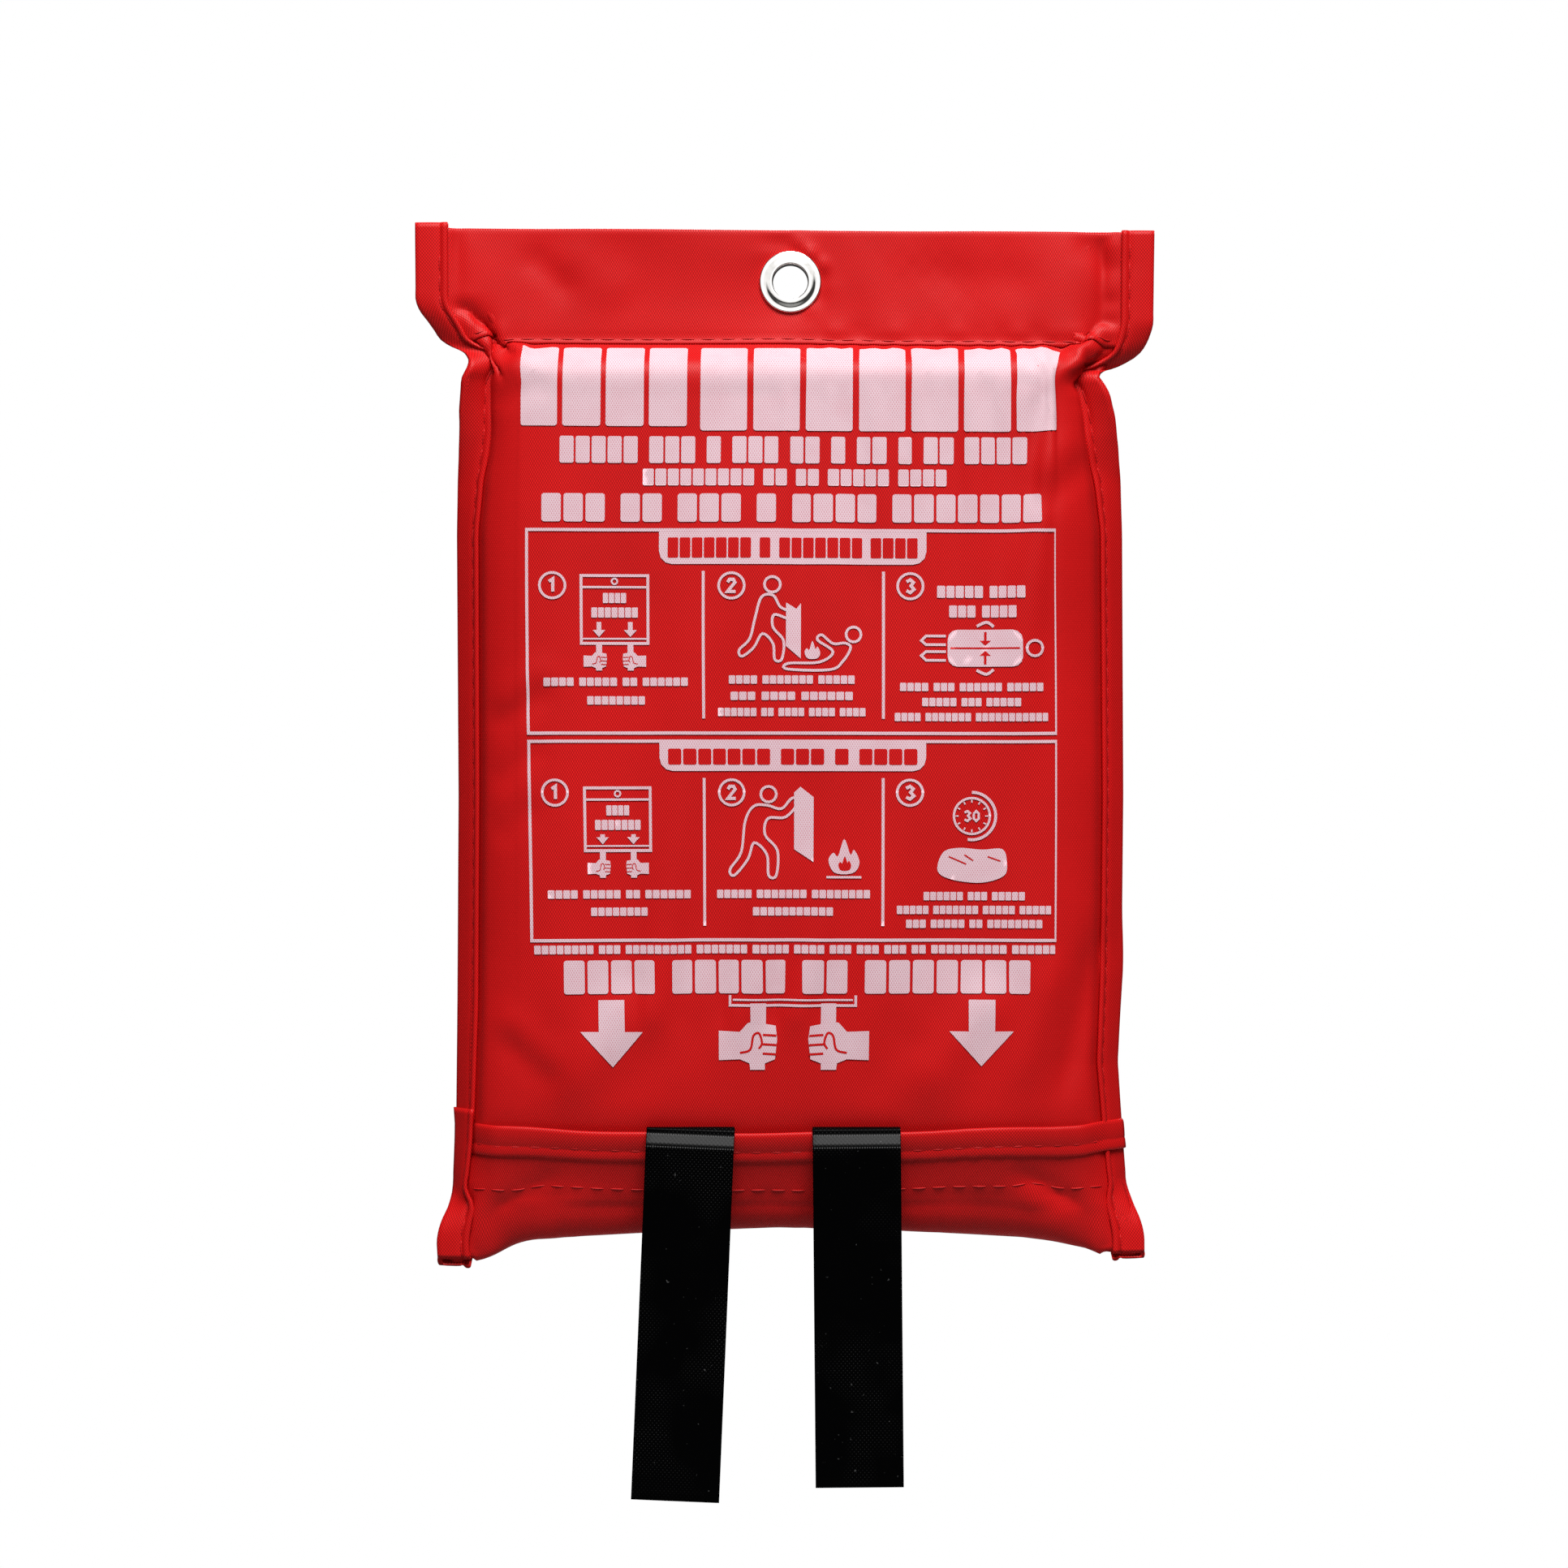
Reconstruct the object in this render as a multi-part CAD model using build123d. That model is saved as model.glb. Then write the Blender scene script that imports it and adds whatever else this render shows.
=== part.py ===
from build123d import *

import os
from math import hypot

# A fire blanket in its soft wall pouch.
#
# Frame: the origin is the centre of the hanging eyelet, +Z is up, -Y faces the reader and +Y faces the wall.
# The pouch is a sewn bag with a flat header band above the body. Its front panel ends inside a shallow bottom
# pocket, whose front is the bottom flap. Two pull tapes are sewn to the folded blanket, run under the front
# panel's lower hem, up through the pocket's mouth, and hang down over the flap.
# All sizes are in millimetres.

# --- Cloth, tape and thread -----------------------------------------------------------------------
CLOTH = 0.45
GAP = 0.05
THREAD_WIDTH = 0.6
THREAD_HEIGHT = 0.3

# --- Header ---------------------------------------------------------------------------------------
HEADER_TOP = 17.5
HEADER_SEAM = -21.0
HEADER_HALF = 127.5
HEADER_OVERLAP = 11.0
HEADER_STITCH_RISE = 2.0
HEADER_STITCH_CLEAR = 8.0
# The side edge runs straight down to this far above the seam, then slopes in to this far below it.
HEADER_CORNER_RISE = 10.0
HEADER_CORNER_DROP = 6.0

# --- Body: two shallow trays of cloth that meet at the seam plane, y = 0 --------------------------
BODY_HALF = 104.5
BODY_TOP = -26.0
BODY_BOTTOM = -328.0
FRONT_DEPTH = 15.0
BACK_DEPTH = 10.0
EDGE_RADIUS = 8.0
CORNER_RADIUS = 14.0

# --- Side seams and their binding -----------------------------------------------------------------
SEAM_HALF = 114.5
EAR_HALF = 122.0
EAR_BOTTOM = -338.0
EAR_START = -304.0
EAR_HEIGHT = 13.0
BINDING_TOP = 19.5
BINDING_WIDTH = 9.5
BINDING_SPLIT = -287.0
BINDING_SLOT = 1.05
STITCH_INSET = 7.2

# --- Pocket, flap and hook-and-loop closure -------------------------------------------------------
MOUTH = -292.0
FRONT_HEM = -316.0
FLAP_SPACE = 2.4
FLAP_CORNER = 9.0
FLAP_BOTTOM_RADIUS = 5.0
FLAP_BACK_EDGE = -2.0
EDGE_BINDING_HEIGHT = 9.0
CLOSURE_TOP = -301.2
CLOSURE_WIDTH = 12.7
CLOSURE_THICKNESS = 1.1
CLOSURE_HALF = 96.0
CLOSURE_CLEAR = 1.5
CLOSURE_STITCH_INSET = 1.0

# --- Eyelet ---------------------------------------------------------------------------------------
EYELET_BORE = 6.0
EYELET_WALL = 0.5
EYELET_FLANGE = 10.75
EYELET_RISE = 1.9
EYELET_LIP = 0.6
CREST_RADIUS = 6.9
SHOULDER_RADIUS = 9.5
SHOULDER_DROP = 0.6
WASHER_OUTER = 10.5
WASHER_THICKNESS = 0.7
WASHER_EDGE = 0.3
WASHER_BEVEL = 1.2
ROLL_OUTER = 8.2
ROLL_HEIGHT = 0.9
ROLL_LIP = 0.2

# --- Folded blanket -------------------------------------------------------------------------------
BLANKET_HALF = 99.0
BLANKET_TOP = -40.0
BLANKET_BOTTOM = -302.0
BLANKET_FRONT = -13.2
LEAF = 1.5
LEAF_PITCH = 1.7
LEAVES = 13
BLANKET_HEM = 10.0
HEM_STITCH_CLEAR = 4.0

# --- Pull tapes -----------------------------------------------------------------------------------
TAPE_WIDTH = 30.0
TAPE_THICKNESS = 0.8
TAPE_SEWN_TOP = -250.0
TAPE_STANDOFF = 0.95
TAPE_KNUCKLE = 1.0
TAPE_BOX = 24.0
TAPE_BOX_DROP = 3.0
TAPES = {
    "left": {"x": -34.0, "end": -417.0, "lean": 2.4},
    "right": {"x": 22.5, "end": -412.5, "lean": -0.5},
}

# --- Worked out from the above --------------------------------------------------------------------
SEAM_LAYER = GAP + CLOTH
BAND_LAYER = SEAM_LAYER + GAP + CLOTH
BINDING_OUT = BINDING_SLOT + CLOTH
FLAP_FRONT = FRONT_DEPTH + FLAP_SPACE + CLOTH
FLAP_HALF = BODY_HALF + FLAP_SPACE + CLOTH
EDGE_IN = 2 * CLOTH + GAP
EDGE_OUT = GAP + CLOTH
HEM_MIDDLE_Y = -(FLAP_FRONT + (EDGE_OUT - EDGE_IN) / 2)
HEM_TOP = MOUTH + GAP + CLOTH
INNER_RUN_Y = BLANKET_FRONT - GAP - TAPE_THICKNESS / 2
UP_RUN_Y = -(FRONT_DEPTH + TAPE_STANDOFF)
HEM_BEND = UP_RUN_Y - HEM_MIDDLE_Y
TAIL_Y = HEM_MIDDLE_Y - HEM_BEND
FLAP_AXIS = (BACK_DEPTH - CLOTH / 2, BODY_BOTTOM)


def slab(x, y, z):
    """A box from three (low, high) pairs."""
    sizes = [high - low for low, high in (x, y, z)]
    middle = [(low + high) / 2 for low, high in (x, y, z)]
    return Pos(*middle) * Box(*sizes)


def rod(y, z, radius, half_length):
    """A round bar along X through (y, z)."""
    return Pos(0, y, z) * Rot(0, 90, 0) * Cylinder(radius, 2 * half_length)


def in_depth(face, y_low, y_high):
    """A face drawn in the XZ plane, given depth from y_low to y_high."""
    return Pos(0, y_low, 0) * extrude(face, amount=y_high - y_low, dir=(0, 1, 0))


def seam_outline(inset, top, bottom):
    """The outline of the sewn bag in the XZ plane, drawn in from its edge by inset on both sides."""
    right = [
        (HEADER_HALF, top),
        (HEADER_HALF, HEADER_SEAM + HEADER_CORNER_RISE),
        (SEAM_HALF, HEADER_SEAM - HEADER_CORNER_DROP),
        (SEAM_HALF, EAR_START),
        (EAR_HALF, EAR_BOTTOM + EAR_HEIGHT),
        (EAR_HALF, EAR_BOTTOM),
    ]
    right = [(x - inset, z) for x, z in right]
    loop = right + [(-x, z) for x, z in reversed(right)]
    whole = make_face(Plane.XZ * Polyline(loop, close=True))
    return whole & (Plane.XZ * Pos(0, (top + bottom) / 2) * Rectangle(3 * HEADER_HALF, top - bottom))


def side_half(side):
    """All the space on one side of the bag."""
    far = 2 * HEADER_HALF
    x = (-far, 0) if side == "left" else (0, far)
    return slab(x, (-far, far), (2 * EAR_BOTTOM, far))


def tray(depth, inset):
    """The stuffed part of the bag on one side of the seam plane. A depth above 0 is the front."""
    half = BODY_HALF - inset
    top, bottom = BODY_TOP - inset, 2 * BODY_BOTTOM
    outline = Pos(0, (top + bottom) / 2) * RectangleRounded(2 * half, top - bottom, CORNER_RADIUS - inset)
    forward = depth > 0
    reach = abs(depth) - inset
    block = extrude(Plane.XZ * outline, amount=reach, dir=(0, -1 if forward else 1, 0))
    far_face = block.faces().sort_by(Axis.Y)[0 if forward else -1]
    return fillet(far_face.edges(), EDGE_RADIUS - inset)


def panel(depth, bottom):
    """One body panel: its tray, with the flat seam allowance that runs round it and up into the header."""
    leaf = seam_outline(CLOTH + GAP, HEADER_SEAM + HEADER_OVERLAP, EAR_BOTTOM)
    low, high = (-SEAM_LAYER, -GAP) if depth > 0 else (GAP, SEAM_LAYER)
    cloth = in_depth(leaf, low, high) + tray(depth, 0) - tray(depth, CLOTH)
    spare = slab((-BODY_HALF, BODY_HALF), (-FLAP_FRONT, FLAP_FRONT), (3 * BODY_BOTTOM, bottom))
    return cloth - spare


def front_panel():
    """Ends at a straight hem inside the bottom pocket."""
    below = slab((-2 * EAR_HALF, 2 * EAR_HALF), (-FLAP_FRONT, 0), (3 * BODY_BOTTOM, FRONT_HEM))
    return panel(FRONT_DEPTH, FRONT_HEM) - below


def back_panel():
    """Ends at the bottom fold with a round edge, which is the flap's hinge line."""
    y, z = FLAP_AXIS
    edge = rod(y, z, CLOTH / 2, BODY_HALF - EDGE_RADIUS)
    return panel(-BACK_DEPTH, z) + edge


def header_band():
    """A strip folded over the top of the bag, with the eyelet's hole through both leaves."""
    inset = CLOTH + GAP
    leaf = seam_outline(inset, HEADER_TOP, HEADER_SEAM)
    inside = seam_outline(inset, HEADER_TOP - CLOTH, HEADER_SEAM)
    strip = in_depth(leaf, -BAND_LAYER, BAND_LAYER) - in_depth(inside, -SEAM_LAYER - GAP, SEAM_LAYER + GAP)
    hole = Rot(90, 0, 0) * Cylinder(EYELET_BORE + EYELET_WALL + GAP, 4 * BAND_LAYER)
    return strip - hole


def binding(side, top, bottom):
    """A length of binding tape folded over the side seam."""
    band = seam_outline(0, top, bottom) - seam_outline(BINDING_WIDTH, top + 1, bottom - 1)
    slot = seam_outline(CLOTH, top + 1, bottom - 1)
    folded = in_depth(band, -BINDING_OUT, BINDING_OUT) - in_depth(slot, -BINDING_SLOT, BINDING_SLOT)
    return folded & side_half(side)


def binding_stitching(side, top, bottom):
    """The thread that lies along the front of a side binding."""
    inset = STITCH_INSET
    line = seam_outline(inset, top, bottom) - seam_outline(inset + THREAD_WIDTH, top + 1, bottom - 1)
    return in_depth(line, -BINDING_OUT - THREAD_HEIGHT, -BINDING_OUT) & side_half(side)


def header_stitching():
    """The thread of the header seam, on the header band's front leaf."""
    half = HEADER_HALF - BINDING_WIDTH - HEADER_STITCH_CLEAR
    low = HEADER_SEAM + HEADER_STITCH_RISE
    return slab((-half, half), (-BAND_LAYER - THREAD_HEIGHT, -BAND_LAYER), (low, low + THREAD_WIDTH))


def flap_plan(offset):
    """The pocket seen from above, grown by offset from the flap's outer face, with an open back."""
    half, front = FLAP_HALF + offset, FLAP_FRONT + offset
    whole = RectangleRounded(2 * half, 2 * front, FLAP_CORNER + offset)
    return whole & (Pos(0, -front) * Rectangle(4 * half, 2 * (front + FLAP_BACK_EDGE)))


def flap_wall(outer, inner, low, high):
    """A wall of the pocket between two offsets."""
    return Pos(0, 0, low) * extrude(flap_plan(outer) - flap_plan(inner), amount=high - low)


def bottom_flap():
    """The pocket's front lip, its side walls and the bottom, which runs back to the fold."""
    y, z = FLAP_AXIS
    floor_low, floor_high = z - CLOTH / 2, z + CLOTH / 2
    outer = Pos(0, 0, floor_low) * extrude(flap_plan(0), amount=MOUTH - floor_low)
    inner = Pos(0, 0, floor_high) * extrude(flap_plan(-CLOTH), amount=MOUTH - floor_low)
    front_edge = outer.edges().filter_by(Axis.X).filter_by(lambda e: e.center().Z < z).sort_by(Axis.Y)[0]
    lip_edge = inner.edges().filter_by(Axis.X).filter_by(lambda e: e.center().Z < z + 1).sort_by(Axis.Y)[0]
    outer = outer.fillet(FLAP_BOTTOM_RADIUS, [front_edge])
    inner = inner.fillet(FLAP_BOTTOM_RADIUS - CLOTH, [lip_edge])
    half = BODY_HALF - EDGE_RADIUS
    floor_back = y - CLOTH / 2 - GAP
    floor = slab((-half, half), (FLAP_BACK_EDGE - GAP, floor_back), (floor_low, floor_high))
    return outer - inner + floor


def flap_edge_binding():
    """Binding tape folded over the lip's top edge."""
    low = MOUTH - EDGE_BINDING_HEIGHT
    outside = flap_wall(EDGE_OUT, GAP, low, HEM_TOP)
    inside = flap_wall(-CLOTH - GAP, -EDGE_IN, low, HEM_TOP)
    return outside + inside + flap_wall(EDGE_OUT, -EDGE_IN, HEM_TOP - CLOTH, HEM_TOP)


def flap_edge_stitching():
    half = FLAP_HALF - FLAP_CORNER
    low = MOUTH - EDGE_BINDING_HEIGHT / 2
    front = -FLAP_FRONT - EDGE_OUT
    return slab((-half, half), (front - THREAD_HEIGHT, front), (low, low + THREAD_WIDTH))


def closure_runs():
    """The stretches of hook-and-loop tape that the two pull tapes leave free, as (low, high) in X."""
    clear = TAPE_WIDTH / 2 + CLOSURE_CLEAR
    edges = [-CLOSURE_HALF]
    for tape in sorted(TAPES.values(), key=lambda tape: tape["x"]):
        edges += [tape["x"] - clear, tape["x"] + clear]
    edges.append(CLOSURE_HALF)
    return list(zip(edges[::2], edges[1::2]))


def closure(y_low, y_high):
    z = (CLOSURE_TOP - CLOSURE_WIDTH, CLOSURE_TOP)
    return Compound([slab(run, (y_low, y_high), z) for run in closure_runs()])


def loop_strip():
    """Loop tape on the outside of the front panel's lower hem."""
    back = -FRONT_DEPTH - GAP
    return closure(back - CLOSURE_THICKNESS, back)


def hook_strip():
    """Hook tape on the inside of the flap."""
    front = -(FRONT_DEPTH + FLAP_SPACE) + GAP
    return closure(front, front + CLOSURE_THICKNESS)


def closure_stitching(y_low, rises):
    """Thread rows along a hook or loop tape, at the given rises above its lower edge."""
    low = CLOSURE_TOP - CLOSURE_WIDTH
    rows = []
    for run in closure_runs():
        for rise in rises:
            z = (low + rise, low + rise + THREAD_WIDTH)
            rows.append(slab(run, (y_low, y_low + THREAD_HEIGHT), z))
    return Compound(rows)


def loop_strip_stitching():
    """Both rows, on the inside of the front panel."""
    rises = (CLOSURE_STITCH_INSET, CLOSURE_WIDTH - CLOSURE_STITCH_INSET - THREAD_WIDTH)
    return closure_stitching(-FRONT_DEPTH + CLOTH, rises)


def hook_strip_stitching():
    """The lower row, on the outside of the flap. The upper row lies under the edge binding."""
    half = FLAP_HALF - FLAP_CORNER
    low = CLOSURE_TOP - CLOSURE_WIDTH + CLOSURE_STITCH_INSET
    return slab((-half, half), (-FLAP_FRONT - THREAD_HEIGHT, -FLAP_FRONT), (low, low + THREAD_WIDTH))


def ring(profile):
    """A ring round the eyelet's axis from edges drawn as radius along X and depth along Y."""
    return revolve(make_face(profile), axis=Axis.Y)


def eyelet():
    """Front flange, barrel, and the roll that the setting tool forms over the washer.

    The flange is highest close to the hole. It slopes gently to a shoulder and then curls down to its rim."""
    inner, outer = EYELET_BORE, EYELET_BORE + EYELET_WALL
    seat = -BAND_LAYER - GAP / 2
    crown = seat - EYELET_RISE
    lip = (inner, crown + EYELET_LIP)
    crest = (CREST_RADIUS, crown)
    shoulder = (SHOULDER_RADIUS, crown + SHOULDER_DROP)
    rim = (EYELET_FLANGE, seat)
    washer_back = BAND_LAYER + GAP / 2 + WASHER_THICKNESS
    roll_low, roll_high = washer_back + GAP, washer_back + GAP + ROLL_HEIGHT
    roll_lip = (inner, roll_high - ROLL_LIP)
    dome = Spline(lip, crest, shoulder, rim, tangents=[(0, -1), (0, 1)])
    under = Polyline(rim, (outer, seat), (outer, roll_low), (ROLL_OUTER, roll_low))
    roll = Spline((ROLL_OUTER, roll_low), ((inner + ROLL_OUTER) / 2, roll_high), roll_lip)
    bore = Line(roll_lip, lip)
    return ring([dome, under, roll, bore])


def eyelet_washer():
    """A dished ring behind the header."""
    inner = EYELET_BORE + EYELET_WALL + GAP
    seat = BAND_LAYER + GAP / 2
    back = seat + WASHER_THICKNESS
    outline = Polyline(
        (inner, seat),
        (WASHER_OUTER, seat),
        (WASHER_OUTER, seat + WASHER_EDGE),
        (WASHER_OUTER - WASHER_BEVEL, back),
        (inner, back),
        close=True,
    )
    return ring([outline])


def blanket_cloth():
    """The blanket folded to a packet: flat leaves joined by round folds at alternate ends."""
    radius = (LEAF_PITCH + LEAF) / 2
    inner = radius - LEAF
    bend_low, bend_high = BLANKET_BOTTOM + radius, BLANKET_TOP - radius
    width = (-BLANKET_HALF, BLANKET_HALF)
    packet = None
    for n in range(LEAVES):
        y = BLANKET_FRONT + n * LEAF_PITCH
        low = BLANKET_BOTTOM if n == LEAVES - 1 else bend_low
        high = BLANKET_TOP if n == 0 else bend_high
        leaf = slab(width, (y, y + LEAF), (low, high))
        packet = leaf if packet is None else packet + leaf
        if n < LEAVES - 1:
            middle = y + radius
            at_bottom = n % 2 == 0
            end = bend_low if at_bottom else bend_high
            tube = rod(middle, end, radius, BLANKET_HALF) - rod(middle, end, inner, BLANKET_HALF + 1)
            half = (end - radius, end) if at_bottom else (end, end + radius)
            packet = packet + (tube & slab(width, (middle - radius, middle + radius), half))
    return packet


def blanket_hem_stitching():
    """Thread along the two side hems of the blanket's front leaf."""
    y = (BLANKET_FRONT - THREAD_HEIGHT, BLANKET_FRONT)
    z = (BLANKET_BOTTOM + HEM_STITCH_CLEAR, BLANKET_TOP - HEM_STITCH_CLEAR)
    inner = BLANKET_HALF - BLANKET_HEM
    return Compound([slab((x, x + THREAD_WIDTH), y, z) for x in (-inner - THREAD_WIDTH, inner)])


def tape_root(tape):
    """The sewn end of a pull tape: down the blanket, under the front hem, and up over the flap's edge."""
    half = TAPE_THICKNESS / 2
    under_y = (INNER_RUN_Y + UP_RUN_Y) / 2
    under = INNER_RUN_Y - under_y
    under_z = FRONT_HEM - under
    run_x = (tape["x"] - TAPE_WIDTH / 2, tape["x"] + TAPE_WIDTH / 2)
    far = 3 * TAPE_WIDTH

    def bend(y, z, radius, half_space):
        tube = rod(y, z, radius + half, far) - rod(y, z, radius - half, far + 1)
        low, high = (z - radius - half, z) if half_space == "below" else (z, z + radius + half)
        return tube & slab(run_x, (y - radius - half, y + radius + half), (low, high))

    sewn = slab(run_x, (INNER_RUN_Y - half, INNER_RUN_Y + half), (under_z, TAPE_SEWN_TOP))
    rise = slab(run_x, (UP_RUN_Y - half, UP_RUN_Y + half), (under_z, HEM_TOP))
    lower_bend = bend(under_y, under_z, under, "below")
    upper_bend = bend(HEM_MIDDLE_Y, HEM_TOP, HEM_BEND, "above")
    strip = sewn + lower_bend + rise + upper_bend
    return strip - rod(TAIL_Y, HEM_TOP, TAPE_KNUCKLE, far)


def pull_tape(tape):
    """The hanging end of a pull tape, which swings on the flap's edge."""
    half = TAPE_THICKNESS / 2
    length = HEM_TOP - tape["end"]
    flat = slab((-TAPE_WIDTH / 2, TAPE_WIDTH / 2), (-half, half), (-length, 0))
    top = rod(0, 0, half, TAPE_WIDTH / 2)
    return Pos(tape["x"], TAIL_Y, HEM_TOP) * (Rot(0, tape["lean"], 0) * flat + top)


def tape_anchor_stitching(tape):
    """A sewn box with a cross, which holds a tape to the blanket."""
    half = TAPE_BOX / 2
    middle = TAPE_SEWN_TOP - TAPE_BOX_DROP - half
    front = INNER_RUN_Y - TAPE_THICKNESS / 2
    box = Rectangle(TAPE_BOX, TAPE_BOX) - Rectangle(TAPE_BOX - 2 * THREAD_WIDTH, TAPE_BOX - 2 * THREAD_WIDTH)
    diagonal = hypot(TAPE_BOX, TAPE_BOX) - 2 * THREAD_WIDTH
    bar = Rectangle(diagonal, THREAD_WIDTH)
    cross = Rot(0, 0, 45) * bar + Rot(0, 0, -45) * bar
    pattern = Plane.XZ * Pos(tape["x"], middle) * (box + cross)
    return in_depth(pattern, front - THREAD_HEIGHT, front)


def nodes():
    """Every piece of the object, by node name."""
    made = {
        "front_panel": front_panel(),
        "back_panel": back_panel(),
        "header_band": header_band(),
        "header_stitching": header_stitching(),
        "eyelet": eyelet(),
        "eyelet_washer": eyelet_washer(),
        "loop_strip": loop_strip(),
        "loop_strip_stitching": loop_strip_stitching(),
        "bottom_flap": bottom_flap(),
        "flap_edge_binding": flap_edge_binding(),
        "flap_edge_stitching": flap_edge_stitching(),
        "hook_strip": hook_strip(),
        "hook_strip_stitching": hook_strip_stitching(),
        "blanket_cloth": blanket_cloth(),
        "blanket_hem_stitching": blanket_hem_stitching(),
    }
    for side, tape in TAPES.items():
        made[f"side_binding_{side}"] = binding(side, BINDING_TOP, BINDING_SPLIT + GAP)
        made[f"side_stitching_{side}"] = binding_stitching(side, BINDING_TOP - 4, BINDING_SPLIT + 1)
        made[f"pocket_binding_{side}"] = binding(side, BINDING_SPLIT - GAP, EAR_BOTTOM)
        made[f"pocket_stitching_{side}"] = binding_stitching(side, BINDING_SPLIT - 1, EAR_BOTTOM + 1)
        made[f"tape_root_{side}"] = tape_root(tape)
        made[f"tape_anchor_stitching_{side}"] = tape_anchor_stitching(tape)
        made[f"pull_tape_{side}"] = pull_tape(tape)
    return made


os.makedirs("parts", exist_ok=True)
for name, shape in nodes().items():
    export_step(shape, f"parts/{name}.step")
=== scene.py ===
from math import cos, pi, radians, sin

import bmesh
import bpy
import numpy as np
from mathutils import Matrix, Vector

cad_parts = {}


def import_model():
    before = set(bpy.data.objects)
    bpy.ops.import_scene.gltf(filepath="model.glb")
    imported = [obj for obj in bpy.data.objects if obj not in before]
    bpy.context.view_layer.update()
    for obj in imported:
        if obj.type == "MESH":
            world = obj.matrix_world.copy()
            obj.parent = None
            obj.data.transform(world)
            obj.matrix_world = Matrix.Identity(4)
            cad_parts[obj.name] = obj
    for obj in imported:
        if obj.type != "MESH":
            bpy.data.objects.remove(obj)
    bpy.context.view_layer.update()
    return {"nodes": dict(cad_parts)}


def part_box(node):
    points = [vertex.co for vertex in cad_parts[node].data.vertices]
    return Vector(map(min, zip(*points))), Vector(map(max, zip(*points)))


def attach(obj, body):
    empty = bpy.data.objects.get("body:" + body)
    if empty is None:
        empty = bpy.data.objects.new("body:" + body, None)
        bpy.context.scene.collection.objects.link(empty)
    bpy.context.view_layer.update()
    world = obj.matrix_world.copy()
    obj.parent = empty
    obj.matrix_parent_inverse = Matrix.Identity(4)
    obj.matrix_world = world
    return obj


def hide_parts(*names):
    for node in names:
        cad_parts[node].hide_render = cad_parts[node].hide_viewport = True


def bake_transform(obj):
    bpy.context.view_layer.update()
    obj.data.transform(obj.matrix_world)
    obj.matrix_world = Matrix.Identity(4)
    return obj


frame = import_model()

# The looks of a fire blanket in its wall pouch. All sizes are in millimetres until a mesh is made.
#
# The pouch is made as the real one is. A flat pattern is laid out, and a cloth simulation draws its seams in
# round the folded blanket. Every cloth piece, binding, stitch and print shape is then laid on that cloth.
# A place on the cloth is (u, w): u runs across the flat pattern from its middle, and w runs up the front from
# the bottom fold. Negative w runs up the back.
MM = 0.001


def mm_box(node):
    """The lowest and highest corner of a CAD node, in millimetres."""
    low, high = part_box(node)
    return np.array(low) / MM, np.array(high) / MM


# --- Sizes taken from the frame ---
HALF = mm_box("side_binding_right")[1][0] + 0.5
SEAM_TOP = mm_box("header_band")[0][2]
HEADER_TOP = mm_box("header_band")[1][2]
HINGE_Z = mm_box("back_panel")[0][2]
FOLD = HINGE_Z + 1.0
MOUTH = mm_box("bottom_flap")[1][2] + 2.8
FRONT_HEM = mm_box("front_panel")[0][2]
BLANKET_LOW, BLANKET_HIGH = mm_box("blanket_cloth")
TAPE_TOP = mm_box("pull_tape_left")[1][2]

# --- Cloth ---
CLOTH = 0.45
FLANGE = 10.0
SEAM_Y = -0.8
STITCH = HALF - FLANGE
SIM_STEP = 3.7
SIM_SCALE = 10.0
SIM_FRAMES = 45
SWELL_SHARE = 0.62
PIECE_STEP = 2.0
WEAVE = (0.43, 0.735)

# The block of folded blanket that fills the bag.
PACKET_HALF = 101.0
PACKET_FRONT, PACKET_BACK = -11.4, 7.9
PACKET_TOP, PACKET_BOTTOM = -27.5, -321.5
PACKET_ROUND = 7.0
# Its front leans back below this height, by this much at the bottom.
TAPER_TOP, TAPER = -282.0, 7.0

# The header's top edge hangs a little to the left, and lower on its right. Cloth near the eyelet stays put.
HEADER_SCALE, HEADER_SHIFT, HEADER_TILT = 0.9934, -1.65, -0.8
EYELET_HELD = 11.5

# Heights of layers above the simulated sheet.
PANEL_LIFT = 0.5
HEADER_LIFT = 1.0
FLAP_SIDE_LIFT = 1.0
FLAP_LIFT = 2.6
BINDING_SLOT = 1.05
GROOVE = 2.25
STITCH_LENGTH = 5.6
STITCH_PITCH = 6.9
THREAD = 0.26
POD_RINGS, POD_SIDES = 7, 6


def smooth(t):
    """A ramp from 0 to 1 with level ends."""
    t = np.clip(t, 0, 1)
    return t * t * (3 - 2 * t)


def linked(name, data):
    """A new object in the scene."""
    thing = bpy.data.objects.new(name, data)
    bpy.context.scene.collection.objects.link(thing)
    return thing


# --- The flat pattern and its simulation ---
def pattern_lines():
    """The u and v positions of the pattern's grid. Lines fall on the stitch lines and the header seam."""
    across = np.linspace(-STITCH, STITCH, 2 * round(STITCH / SIM_STEP) + 1)
    flange = np.linspace(STITCH, HALF, 4)[1:]
    us = np.concatenate([-flange[::-1], across, flange])
    body = np.linspace(FOLD, SEAM_TOP, round((SEAM_TOP - FOLD) / SIM_STEP) + 1)
    header = np.linspace(SEAM_TOP, HEADER_TOP, round((HEADER_TOP - SEAM_TOP) / SIM_STEP) + 1)[1:]
    return us, np.concatenate([body, header])


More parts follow.
